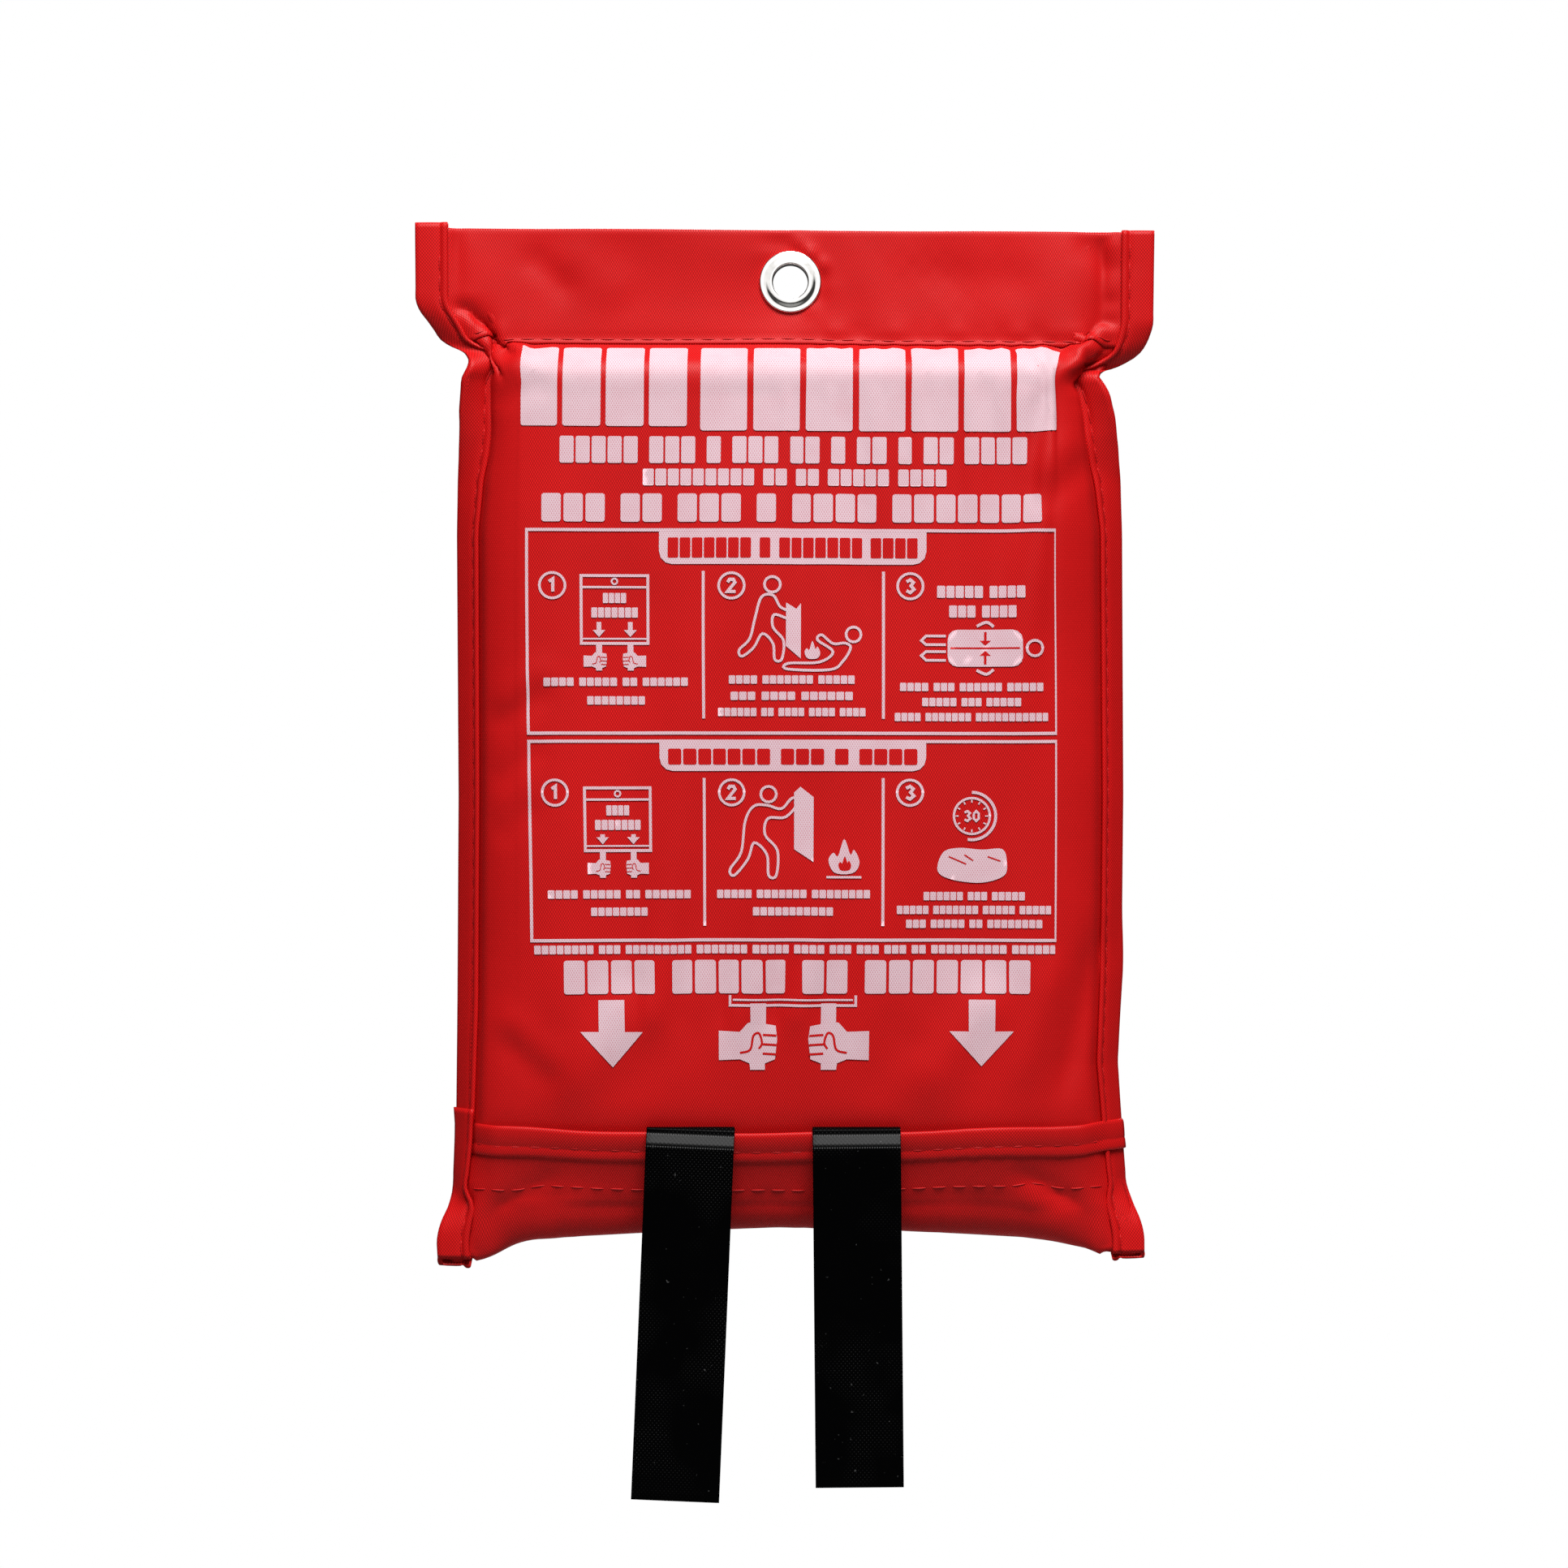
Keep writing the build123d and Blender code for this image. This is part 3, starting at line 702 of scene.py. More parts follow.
RED = (0.56, 0.0045, 0.005)
materials = {
    "cloth": woven("red_oxford_cloth", RED),
    "binding": woven("red_binding_tape", (0.58, 0.0048, 0.0053), pitch=(0.5, 0.6), roughness=0.4, gap_shade=0.6),
    "thread": thread_material("red_thread", (0.50, 0.005, 0.006)),
    "ink": ink_material("printed_ink", (0.70, 0.52, 0.57), (0.54, 0.19, 0.23)),
    "knockout": woven("red_between_ink", RED),
    "nickel": nickel_material(),
    "webbing": webbing_material(),
    "black_thread": thread_material("black_thread", (0.02, 0.02, 0.02)),
    "hooks": closure_material("hook_tape", True),
    "loops": closure_material("loop_tape", False),
    "glass": woven("glass_cloth", (0.78, 0.76, 0.70), pitch=(1.1, 1.1), roughness=0.7, depth=0.16, gap_shade=0.8),
    "white_thread": thread_material("white_thread", (0.8, 0.79, 0.74)),
}

# --- The simulated sheet ---
pattern = Pattern()
settled = simulate_bag(pattern)
sheet = Sheet(pattern, settled)


def cloth_fit():
    """Straight-line fits from x to u and from z to w over the flat part of the front."""
    u, w = np.meshgrid(np.linspace(-92, 92, 40), np.linspace(-280, -40, 40) - FOLD)
    points = sheet.at(u, w)
    return np.polyfit(points[..., 0].ravel(), u.ravel(), 1), np.polyfit(points[..., 2].ravel(), w.ravel(), 1)


TO_U, TO_W = cloth_fit()


def w_of(z):
    """The w at a height on the front."""
    return np.polyval(TO_W, z)


W_TOP = HEADER_TOP - FOLD
W_SEAM = SEAM_TOP - FOLD
W_MOUTH = w_of(MOUTH)
W_HEM = w_of(FRONT_HEM)
EYELET_HOLE = 7.2
CLOTH_EDGE = HALF - 0.8


def finish_piece(thing, body, slot, *nodes):
    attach(thing, body)
    if nodes:
        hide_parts(*nodes)


# --- Panels and header ---
def panel(name, low, high):
    """One big face of the bag."""
    cloth = laid(name + "_cloth", *cloth_grid(low, high), PANEL_LIFT, materials["cloth"])
    finish_piece(cloth, "pouch", "red_coated_cloth", name)


def header_band():
    """Two leaves joined by a round fold at the top. Each leaf has a turned-under lower edge."""
    us, low, turn = steps(-CLOTH_EDGE, CLOTH_EDGE, 1.6), W_SEAM - 1.6, 3.4
    u, w = np.meshgrid(us, steps(low, W_TOP, 1.6))
    height = HEADER_LIFT + 0.15 * smooth((low + turn - w) / 0.8)
    front, back = sheet.lifted(u, w, height), sheet.lifted(u, -w, height)
    top, n, up = sheet.at(us, W_TOP), sheet.normal(us, W_TOP - 0.1), np.array([0.0, 0.0, 1.0])
    bend = np.stack([top + HEADER_LIFT * (n * cos(a) + up * sin(a)) for a in np.linspace(0, pi, 7)[1:-1]])
    points = np.concatenate([front, bend, back[::-1]])
    uvs = np.concatenate([pairs(u, w), pairs(us, np.full((len(bend), 1), W_TOP)), pairs(u, w)[::-1]])
    middle = (points[:-1, :-1] + points[1:, 1:]) / 2
    faces = grid_faces(*points.shape[:2], keep=np.hypot(middle[..., 0], middle[..., 2]) > EYELET_HOLE)
    return thicken(new_object("header_cloth", points, faces, materials["cloth"], uvs), CLOTH)


# --- Bindings ---
# Heights of the ends of each side's bindings and stitches. stub is how far the long binding stands above the
# header, and raised is how far the short one stands off the long one.
SIDES = {
    "left": {"sign": -1, "stub": 2.6, "low": -288, "pocket": -283.5, "pocket_stitch": -286, "raised": 0.55},
    "right": {"sign": 1, "stub": 1.4, "low": -297, "pocket": -297, "pocket_stitch": -302, "raised": 0.0},
}


def side_frames(side, w_low, w_high):
    """Frames along a side flange: the stitch line, the way out to the edge, and the way out to the front."""
    sign, frames = SIDES[side]["sign"], []
    for w in steps(w_low, w_high, 1.8):
        inner_w = min(max(w, 0.0), W_TOP)
        inner = sheet.at(sign * STITCH, inner_w)
        outer = sheet.at(sign * HALF, inner_w)
        up = sheet.at(sign * STITCH, inner_w + 1) - sheet.at(sign * STITCH, inner_w - 1)
        d = unit(outer - inner)
        up = unit(up - d * np.dot(up, d))
        n = np.cross(d, up) * sign
        frames.append((inner + up * (w - inner_w), d, n))
    return frames


def binding_profile(width, extra=0.0):
    """A tape folded round the flange, seen end on. Its inner edges are turned under, which makes a ridge."""
    out, slot = BINDING_SLOT + CLOTH + extra, BINDING_SLOT + extra
    front = [(-0.5, slot), (-0.65, out + 0.2), (-0.4, out + 0.6), (0.2, out + 0.8), (0.9, out + 0.74)]
    front += [(1.5, out + 0.4), (1.9, out - 0.1), (2.45, out - 0.2), (2.9, out + 0.04), (4.5, out + 0.12)]
    front += [(7.5, out + 0.06), (width - 1.0, out - 0.04)]
    bend = [(width + out * 0.55 * sin(a), out * cos(a)) for a in np.linspace(0.35, pi - 0.35, 7)]
    back = [(x, -y) for x, y in reversed(front)]
    inside = [(width - 1.2, -slot), (width - 0.7, -slot * 0.5), (width - 0.6, 0)]
    inside += [(x, -y) for x, y in reversed(inside[:2])]
    return front + bend + back + inside


def side_binding(side):
    """The long binding. Its raw end stands a little above the header."""
    frames = side_frames(side, w_of(SIDES[side]["low"]), W_TOP + SIDES[side]["stub"])
    return sweep(f"side_binding_tape_{side}", frames, binding_profile(FLANGE), materials["binding"])


def pocket_binding(side):
    """The short binding over the pocket's seam. On the left its raw end stands proud of the long one."""
    frames = side_frames(side, -1.0, w_of(SIDES[side]["pocket"]))
    if side == "left":
        # The cut end bulges where the turned-in layers spread.
        spread = [1 + 0.10 * max(0.0, 1 - (len(frames) - 1 - i) / 3) for i in range(len(frames))]
        frames = [(o - d * (s - 1) * 5, d * s, n * s) for (o, d, n), s in zip(frames, spread)]
    profile = binding_profile(FLANGE, SIDES[side]["raised"])
    return sweep(f"pocket_binding_tape_{side}", frames, profile, materials["binding"])


# --- Stitches ---
def stitch_row(points, normals, pitch=STITCH_PITCH, length=STITCH_LENGTH):
    """Vertices and faces of a row of stitches, each a slim pod that dips into the cloth at both ends."""
    travel = travelled(points)
    t = np.linspace(0, 1, POD_RINGS)
    girth = THREAD * (0.35 + 0.65 * np.sin(pi * np.clip(t, 0.04, 0.96)) ** 0.5)
    rise = THREAD * (1.3 * np.sin(pi * t) ** 0.5 - 0.9)
    round_way = np.linspace(0, 2 * pi, POD_SIDES, endpoint=False)[:, None]
    verts, faces = [], []

    def place(column, s):
        return np.stack([np.interp(s, travel, column[:, k]) for k in range(3)], axis=-1)

    for start in np.arange(0.8, travel[-1] - length, pitch):
        s = start + length * t
        middle, n = place(points, s), unit(place(normals, s))
        along = unit(place(points, s + 0.5) - middle + 1e-9)
        across = unit(np.cross(along, n))[:, None]
        ring = across * np.cos(round_way) + n[:, None] * np.sin(round_way)
        faces += [[i + len(verts) for i in face] for face in tube_faces(POD_RINGS, POD_SIDES)]
        verts += list(((middle + n * rise[:, None])[:, None] + girth[:, None, None] * ring).reshape(-1, 3))
    return verts, faces


def stitches(name, rows, material="thread", **sizes):
    """One piece from several rows of stitches, each given as (points, normals)."""
    verts, faces = [], []
    for points, normals in rows:
        more, their = stitch_row(np.asarray(points), np.asarray(normals), **sizes)
        faces += [[i + len(verts) for i in face] for face in their]
        verts += more
    return new_object(name, verts, faces, materials[material])


def row_on_sheet(us, ws, height):
    """The points and normals of a stitch row on the cloth."""
    return sheet.lifted(us, ws, height), sheet.normal(us, ws)


def side_stitches(side, w_low, w_high, extra=0.0):
    """A row in the groove beside the binding's ridge, on the front and on the back."""
    top = BINDING_SLOT + CLOTH + extra - 0.1
    o, d, n = (np.array(column) for column in zip(*side_frames(side, w_low, w_high)))
    return [(o + d * GROOVE + n * top * sign, n * sign) for sign in (1, -1)]


def header_stitches():
    us = steps(-STITCH + 2, STITCH - 2, 3)
    rows = [row_on_sheet(us, w, HEADER_LIFT + 0.12) for w in (W_SEAM + 1.0, -W_SEAM - 1.0)]
    return stitches("header_seam_stitches", rows)


# --- Pocket flap ---
def flap_height(u, w):
    """The flap's outer face: clear of the front panel in the middle, and close to it at seams and fold."""
    middle = smooth((STITCH - 1 - np.abs(u)) / 11) * smooth((w - 6) / 16)
    gape = 1.5 * np.cos(np.clip(u / STITCH, -1, 1) * pi / 2) * smooth((w - W_HEM) / (W_MOUTH - W_HEM))
    strip = 0.25 * smooth((w - w_of(-313.6)) / 1.5)
    pucker = 0.22 * np.sin(u / 5.3 + 2.1 * np.sin(u / 17)) * smooth((w_of(-309) - w) / 7) * smooth(w / 12)
    return FLAP_SIDE_LIFT + (FLAP_LIFT - FLAP_SIDE_LIFT + gape + strip + pucker) * middle


def mouth_w(u):
    """The flap's top edge, which hangs a little lower in the middle."""
    return W_MOUTH + 0.4 - 3.0 * np.cos(np.clip(u / STITCH, -1, 1) * pi / 2)


def bottom_flap():
    us = steps(-CLOTH_EDGE, CLOTH_EDGE, PIECE_STEP)
    u, share = np.meshgrid(us, steps(0, 1, PIECE_STEP / (W_MOUTH + 1)))
    w = share * mouth_w(u)
    return laid("bottom_flap_cloth", u, w, flap_height(u, w), materials["cloth"])


EDGE_WIDTH = 9.6
HOOK_ROW_DROP = 20.6


def flap_edge_binding():
    """Binding folded over the flap's top edge. On the right it runs over the side binding."""
    wide = EDGE_WIDTH
    front = [(wide, 0.05), (wide + 0.05, 0.45), (wide - 0.25, 0.72), (wide - 1.2, 0.76), (wide - 2.9, 0.66)]
    front += [(wide - 3.3, 0.5), (wide - 3.7, 0.5), (wide - 4.2, 0.62), (3.0, 0.66), (1.0, 0.6), (0.15, 0.4)]
    bend = [(-0.35, -0.05), (-0.35, -0.5)]
    back = [(0.15, -0.85), (1.0, -0.98), (wide - 1, -1.0), (wide - 0.6, -0.8), (wide - 0.6, -0.52)]
    inside = [(1.4, -0.5), (1.0, -0.25), (1.4, 0.03)]
    profile = np.array(front + bend + back + inside)
    u = steps(-STITCH + 0.5, HALF + 0.4, 2.0)[:, None]
    over = 0.95 * smooth((u - STITCH + 3.5) / 3)
    wander = 0.25 * np.sin(u / 9) + 0.2 * np.sin(u / 23 + 1)
    w = mouth_w(u) - profile[:, 0] + 0.3 + wander
    height = flap_height(u, np.minimum(w, W_MOUTH)) + profile[:, 1] + over
    rings = sheet.lifted(u, w, height)
    return tube("flap_edge_binding_tape", rings, materials["binding"], pairs(u, travelled(profile)))


def flap_rows(drop, height):
    """A row across the flap, a given drop below its top edge."""
    us = steps(1 - STITCH, STITCH - 1, 3)
    w = mouth_w(us) - drop
    return [row_on_sheet(us, w, flap_height(us, w) + height)]


# --- Eyelet ---
for node in ("eyelet", "eyelet_washer"):
    thing = frame["nodes"][node]
    thing.data.materials.clear()
    thing.data.materials.append(materials["nickel"])
    thing.data.polygons.foreach_set("use_smooth", [True] * len(thing.data.polygons))

# --- Build the pouch ---
panel("front_panel", W_HEM, W_SEAM + 4)
panel("back_panel", -W_SEAM - 4, 0)
finish_piece(header_band(), "pouch", "red_coated_cloth", "header_band")
finish_piece(header_stitches(), "pouch", "red_thread", "header_stitching")
for side in SIDES:
    finish_piece(side_binding(side), "pouch", "red_binding_tape", f"side_binding_{side}")
    finish_piece(pocket_binding(side), "pouch", "red_binding_tape", f"pocket_binding_{side}")
    upper = stitches(f"side_stitches_{side}", side_stitches(side, w_of(-283), W_TOP - 3))
    finish_piece(upper, "pouch", "red_thread", f"side_stitching_{side}")
    top = w_of(SIDES[side]["pocket_stitch"])
    lower = stitches(f"pocket_stitches_{side}", side_stitches(side, 1.0, top, SIDES[side]["raised"]))
    finish_piece(lower, "pouch", "red_thread", f"pocket_stitching_{side}")


def flap_piece(thing, slot, *nodes):
    """A piece of the flap, which gapes open in the middle while its sides and fold stay sewn."""
    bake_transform(thing)
    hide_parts(*nodes)


flap_piece(bottom_flap(), "red_coated_cloth", "bottom_flap")
flap_piece(flap_edge_binding(), "red_binding_tape", "flap_edge_binding")
edge_row, hook_row = flap_rows(EDGE_WIDTH - 3.8, 0.32), flap_rows(HOOK_ROW_DROP, 0.02)
flap_piece(stitches("flap_edge_stitches", edge_row), "red_thread", "flap_edge_stitching")
flap_piece(stitches("hook_strip_stitches", hook_row), "red_thread", "hook_strip_stitching")

# --- Closure strips ---
TAPES = {
    "left": {"x": -34.0, "lean": 2.4, "length": 125.6},
    "right": {"x": 22.5, "lean": -0.5, "length": 121.0},
}
TAPE_WIDTH = 30.0
TAPE_THICKNESS = 0.5
CLOSURE_THICKNESS = 0.5
CLOSURE_HALF = 96.0
CLOSURE_TOP, CLOSURE_BOTTOM = w_of(-301.5), w_of(-314.0)


def closure_runs():
    """The stretches between the tapes that the strips cover."""
    clear = TAPE_WIDTH / 2 + 3
    left, right = TAPES["left"]["x"], TAPES["right"]["x"]
    return [(-CLOSURE_HALF, left - clear), (left + clear, right - clear), (right + clear, CLOSURE_HALF)]


def closure_strip(name, height, material):
    """Three lengths of touch-and-close strip. height(u, w) is the height of their outer face."""
    u, w = cloth_grid(CLOSURE_BOTTOM, CLOSURE_TOP)
    middle = (u[:-1, :-1] + u[1:, 1:]) / 2
    keep = sum((middle > start) & (middle < end) for start, end in closure_runs()) > 0
    return laid(name, u, w, height(u, w), materials[material], CLOSURE_THICKNESS, keep)


def closure_rows(height):
    """Stitch rows along both long edges of the strips."""
    rows = []
    for start, end in closure_runs():
        us = steps(start + 1, end - 1, 3)
        rows += [row_on_sheet(us, w, height(us, w)) for w in (CLOSURE_BOTTOM + 1, CLOSURE_TOP - 1)]
    return rows


def loop_height(u, w):
    return PANEL_LIFT + CLOSURE_THICKNESS


finish_piece(closure_strip("loop_strip_tape", loop_height, "loops"), "pouch", "loop_tape", "loop_strip")
loop_stitches = stitches("loop_strip_stitches", closure_rows(loop_height), "black_thread")
finish_piece(loop_stitches, "pouch", "black_thread", "loop_strip_stitching")
hook_strip = closure_strip("hook_strip_tape", lambda u, w: flap_height(u, w) - CLOTH - 0.12, "hooks")
flap_piece(hook_strip, "hook_tape", "hook_strip")


# --- The folded blanket ---
LEAVES = 13
LEAF = 1.15
LEAF_STEP = 6.0


def leaf_size(n):
    """The low end, the top and the half width of a leaf. The outer leaves are smaller."""
    outer = abs(2 * n / (LEAVES - 1) - 1) ** 4
    low = BLANKET_LOW[2] + 10 * outer + 1.5 + 1.3 * sin(1.7 * n + 1)
    high = BLANKET_HIGH[2] - 5 * outer - 1.5 - 1.2 * sin(2.3 * n)
    return low, high, BLANKET_HIGH[0] - 3.3 - 9 * outer + 0.8 * sin(3.1 * n)


def blanket_cloth():
    """A packet of leaves joined by round folds at alternate ends, each a little out of line with the next.
    Returns the piece and the front leaf's points."""
    front, back = PACKET_FRONT + 0.9, PACKET_BACK - 0.6
    pitch = (back - front - LEAF) / (LEAVES - 1)
    rows = []
    for n in range(LEAVES):
        low, high, half = leaf_size(n)
        y, way = front + LEAF / 2 + n * pitch, 1 if n % 2 else -1
        heights = steps(low, high, LEAF_STEP)[::way]
        rows += [(z, y, half) for z in heights]
        for a in (0.2 * pi, 0.5 * pi, 0.8 * pi) if n < LEAVES - 1 else ():
            rows.append((heights[-1] + way * pitch * 0.5 * sin(a), y + pitch * (1 - cos(a)) / 2, half))
    z, y, half = np.array(rows).T[..., None]
    share = steps(-1, 1, 0.03)
    x = share * (half + 0.5 * np.sin(z / 9 + y))
    leaf_y = y + 0.3 * np.sin(share * 5 + z / 37) + 0.25 * np.sin(share * 11 - z / 23)
    points = np.stack([x, leaf_y + pillow(x, leaf_y, z), z + 0.8 * np.sin(share * 4 + y)], axis=-1)
    uvs = pairs(x, travelled(points[:, 0])[:, None])
    thing = new_object("folded_blanket", points, grid_faces(*x.shape), materials["glass"], uvs)
    return thicken(thing, LEAF, 0), points[: len(steps(*leaf_size(0)[:2], LEAF_STEP))]


def blanket_hems(leaf):
    """Two rows of white stitches down the front leaf's side hems."""
    rows = []
    for x in (-BLANKET_HIGH[0] + 12, BLANKET_HIGH[0] - 12):
        column = int(np.argmin(np.abs(leaf[0, :, 0] - x)))
        points = leaf[:, column] - [0, LEAF / 2, 0]
        rows.append((points, np.tile([0.0, -1.0, 0.0], (len(points), 1))))
    return stitches("blanket_hem_stitches", rows, "white_thread")


packet, front_leaf = blanket_cloth()
finish_piece(packet, "blanket", "glass_cloth", "blanket_cloth")
finish_piece(blanket_hems(front_leaf), "blanket", "white_thread", "blanket_hem_stitching")


# --- Pull tapes ---
ANCHOR_TOP = -250.0
ANCHOR_BOX = 24.0
ANCHOR_Y = PACKET_FRONT - 0.55
HINGE = (mm_box("pull_tape_left")[0][1] + 0.4, TAPE_TOP - 0.4)


def arc_points(y, z, radius, rise, start, end, count=12):
    """Points round an oval bend, by angle from the back (0) over the top (90) to the front (180)."""
    angles = np.radians(np.linspace(start, end, count))
    return [(y + radius * cos(a), z + rise * sin(a)) for a in angles]


def tape_path(side):
    """The tape's middle line in y and z, and the index of its crest on the flap's edge. It runs down the
    blanket, under the front hem, up, and over the edge. Past the edge a pressed fold slopes out."""
    x = TAPES[side]["x"]
    hem = sheet.at(x, W_HEM)
    rise_y, down_y = hem[1] - PANEL_LIFT - TAPE_THICKNESS / 2 - 0.25, hem[1] + 0.35
    under = (down_y - rise_y) / 2
    turn = arc_points((down_y + rise_y) / 2, hem[2] - 1.2, under, under, 0, -180)
    mouth = sheet.at(x, mouth_w(x))
    inner_y = mouth[1] - PANEL_LIFT - TAPE_THICKNESS / 2 - 0.2
    outer_y = mouth[1] - flap_height(np.array(x), mouth_w(x)) - 1.15 - TAPE_THICKNESS / 2
    over = arc_points((inner_y + outer_y) / 2, mouth[2] + 0.2, (inner_y - outer_y) / 2, 1.1, 0, 180)
    (start_y, start_z), fold_drop, fold_out = over[-1], 4.0, 2.2
    slope = [(start_y - fold_out * t, start_z - 0.6 - fold_drop * t) for t in np.linspace(0, 1, 8)]
    low_y, low_z = slope[-1]
    end_z = HINGE[1] - TAPES[side]["length"]
    hang = [(low_y - 0.2 + 0.8 * smooth((low_z - z) / 60), z) for z in steps(low_z - 1.2, end_z, 4)]
    heights = steps(ANCHOR_TOP, turn[0][1] + 3, 4)
    down = [(max(ANCHOR_Y, sheet.at(x, w_of(z))[1] + 0.55), z) for z in heights]
    return np.array([*down, *turn, *over, *slope, *hang]), len(down) + len(turn) + len(over) // 2


def tape(side):
    """One strip of webbing with thin edges and square ends, and how far each point swings with its end."""
    path, crest = tape_path(side)
    x, lean = TAPES[side]["x"], radians(TAPES[side]["lean"])
    share = np.concatenate([[-1, -0.985, -0.95], np.linspace(-0.85, 0.85, 15), [0.95, 0.985, 1]])
    across = share * TAPE_WIDTH / 2
    ends = np.pad(path, ((1, 1), (0, 0)), "edge")
    along = unit(ends[2:] - ends[:-2])
    normals = np.stack([0 * along[:, 0], along[:, 1], -along[:, 0]], axis=-1)[:, None]
    past_crest = np.arange(len(path)) - crest
    past_edge = smooth(past_crest / 4.0)
    middle = np.column_stack([x - (HINGE[1] - path[:, 1]) * np.tan(lean) * past_edge, path])
    turned = lean * past_edge
    side_way = np.stack([np.cos(turned), 0 * turned, -np.sin(turned)], axis=-1)
    skin = 0.5 * TAPE_THICKNESS * np.where(np.abs(across) > TAPE_WIDTH * 0.48, 0.75, 1)
    face = middle[:, None] + across[None, :, None] * side_way[:, None]
    rise = skin[None, :, None] * normals
    grid = np.concatenate([face + rise, (face - rise)[:, ::-1]], axis=1)
    travel = travelled(path)
    uvs = pairs(np.concatenate([across, across[::-1]]), (travel - travel[crest])[:, None])
    thing = new_object(f"webbing_tape_{side}", grid, tube_faces(*grid.shape[:2]), materials["webbing"], uvs)
    return thing, np.repeat(smooth((past_crest - 5) / 8.0), grid.shape[1])


def anchor_stitches(side):
    """A sewn box with a cross."""
    x, half = TAPES[side]["x"], ANCHOR_BOX / 2
    z = ANCHOR_TOP - 3 - half
    ways = ((-1, -1), (-1, 1), (1, 1), (1, -1))
    corner = [(x + i * half, ANCHOR_Y - TAPE_THICKNESS / 2, z + j * half) for i, j in ways]
    lines = [(0, 1), (1, 2), (2, 3), (3, 0), (0, 2), (1, 3)]
    front = np.tile([0.0, -1.0, 0.0], (2, 1))
    rows = [(np.array([corner[a], corner[b]]), front) for a, b in lines]
    return stitches(f"anchor_stitches_{side}", rows, "black_thread", pitch=3.0, length=2.4)


for side in TAPES:
    strip, share = tape(side)
    top = Vector((TAPES[side]["x"], *HINGE)) * MM
    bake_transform(strip)
    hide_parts(f"tape_root_{side}", f"pull_tape_{side}")
    finish_piece(anchor_stitches(side), "blanket", "black_thread", f"tape_anchor_stitching_{side}")


# --- Print ---
# The print is laid out in x and z as it looks from the front. Words are plain blocks, with no letters.
class Print:
    """Flat quads and polygons of ink."""

    def __init__(self):
        self.shapes = []
        self.level = 0

    def add(self, outline):
        """Keeps a polygon, wound one way. Each shape lies a hair above the last, so overlaps are clean."""
        x, z = np.array(outline, float).T
        turning = np.dot(x, np.roll(z, -1)) - np.dot(z, np.roll(x, -1))
        ordered = outline if turning > 0 else outline[::-1]
        self.shapes.append([(px, 0.004 * (self.level % 8), pz) for px, pz in ordered])

    def block(self, left, right, top, bottom, radius=0.0, square_top=False):
        outline = []
        corners = ((right, top, -1, -1), (left, top, 1, -1), (left, bottom, 1, 1), (right, bottom, -1, 1))
        for quarter, (x, z, i, j) in enumerate(corners):
            r = 0 if square_top and z == top else radius
            for turn in (0, 30, 60, 90) if r else (0,):
                a = radians(90 * quarter + turn)
                outline.append((x + i * r + r * cos(a), z + j * r + r * sin(a)))
        self.fill(outline)

    def fill(self, points):
        self.level += 1
        self.add(list(points))

    def stroke(self, points, width=1.0, closed=False):
        """A line of even width with mitred corners."""
        p = np.array(points, float)
        ahead = np.roll(p, -1, axis=0) - p
        behind = p - np.roll(p, 1, axis=0)
        if not closed:
            ahead[-1], behind[0] = behind[-1], ahead[0]
        both = unit(ahead) + unit(behind)
        mitre = pairs(-both[:, 1], both[:, 0])
        mitre /= np.maximum((mitre**2).sum(axis=1, keepdims=True) / 2, 0.35)
        left, right = p + mitre * width / 2, p - mitre * width / 2
        self.level += 1
        for i in range(len(p) if closed else len(p) - 1):
            j = (i + 1) % len(p)
            self.add([left[i], left[j], right[j], right[i]])

    def ring(self, x, z, radius, width=1.0, start=0, end=360):
        closed = end - start == 360
        count = max(10, int(radius * 6 * (end - start) / 360))
        angles = np.radians(np.linspace(start, end, count, endpoint=not closed))
        self.stroke([(x + radius * cos(a), z + radius * sin(a)) for a in angles], width, closed)

    def words(self, left, right, top, bottom, counts):
        """A line of words, each a run of letter-wide blocks."""
        pitch = (right - left) / (sum(counts) + 0.6 * (len(counts) - 1) - 0.12)
        x, radius = left, min(0.12 * pitch, 0.9)
        for count in counts:
            for _ in range(count):
                self.block(x, x + 0.88 * pitch, top, bottom, radius)
                x += pitch
            x += 0.6 * pitch


def curve(points, closed=True, fine=5):
    """A smooth line through points."""
    p, out = np.array(points, float), []
    count = len(p)
    for i in range(count if closed else count - 1):
        taps = [p[(i + k) % count] if closed else p[min(max(i + k, 0), count - 1)] for k in (-1, 0, 1, 2)]
        for t in np.arange(fine) / fine:
            out.append(sum(w * q for w, q in zip(curve_weights(t), taps)))
    return out if closed else [*out, p[-1]]


def placed(points, x, z, size=1.0, mirror=1):
    return [(x + mirror * size * px, z + size * pz) for px, pz in points]


ink, knockout = Print(), Print()
DIGITS = {
    1: [(-0.5, 0.6), (0.1, 1), (0.1, -1)],
    2: [(-0.6, 0.5), (-0.3, 0.95), (0.3, 0.95), (0.55, 0.5), (-0.6, -0.95), (0.65, -0.95)],
    3: [(-0.6, 0.7), (0, 1), (0.5, 0.6), (0.1, 0.05), (0.6, -0.5), (0, -1), (-0.6, -0.7)],
    0: [(-0.5, 0.5), (0, 1), (0.5, 0.5), (0.5, -0.5), (0, -1), (-0.5, -0.5), (-0.5, 0.5)],
}
FIST = [(-1.0, 0.3), (-0.46, 0.28), (-0.26, 0.5), (0.0, 0.56), (0.22, 0.46), (0.46, 0.42), (0.5, 0.1),
        (0.44, -0.4), (0.18, -0.5), (0.18, -0.66), (-0.2, -0.66), (-0.22, -0.5), (-0.46, -0.4), (-1.0, -0.42)]
THUMB = [(-0.46, -0.24), (-0.2, -0.16), (-0.12, 0.18), (0.02, 0.24), (0.1, 0.0), (0.02, -0.14)]
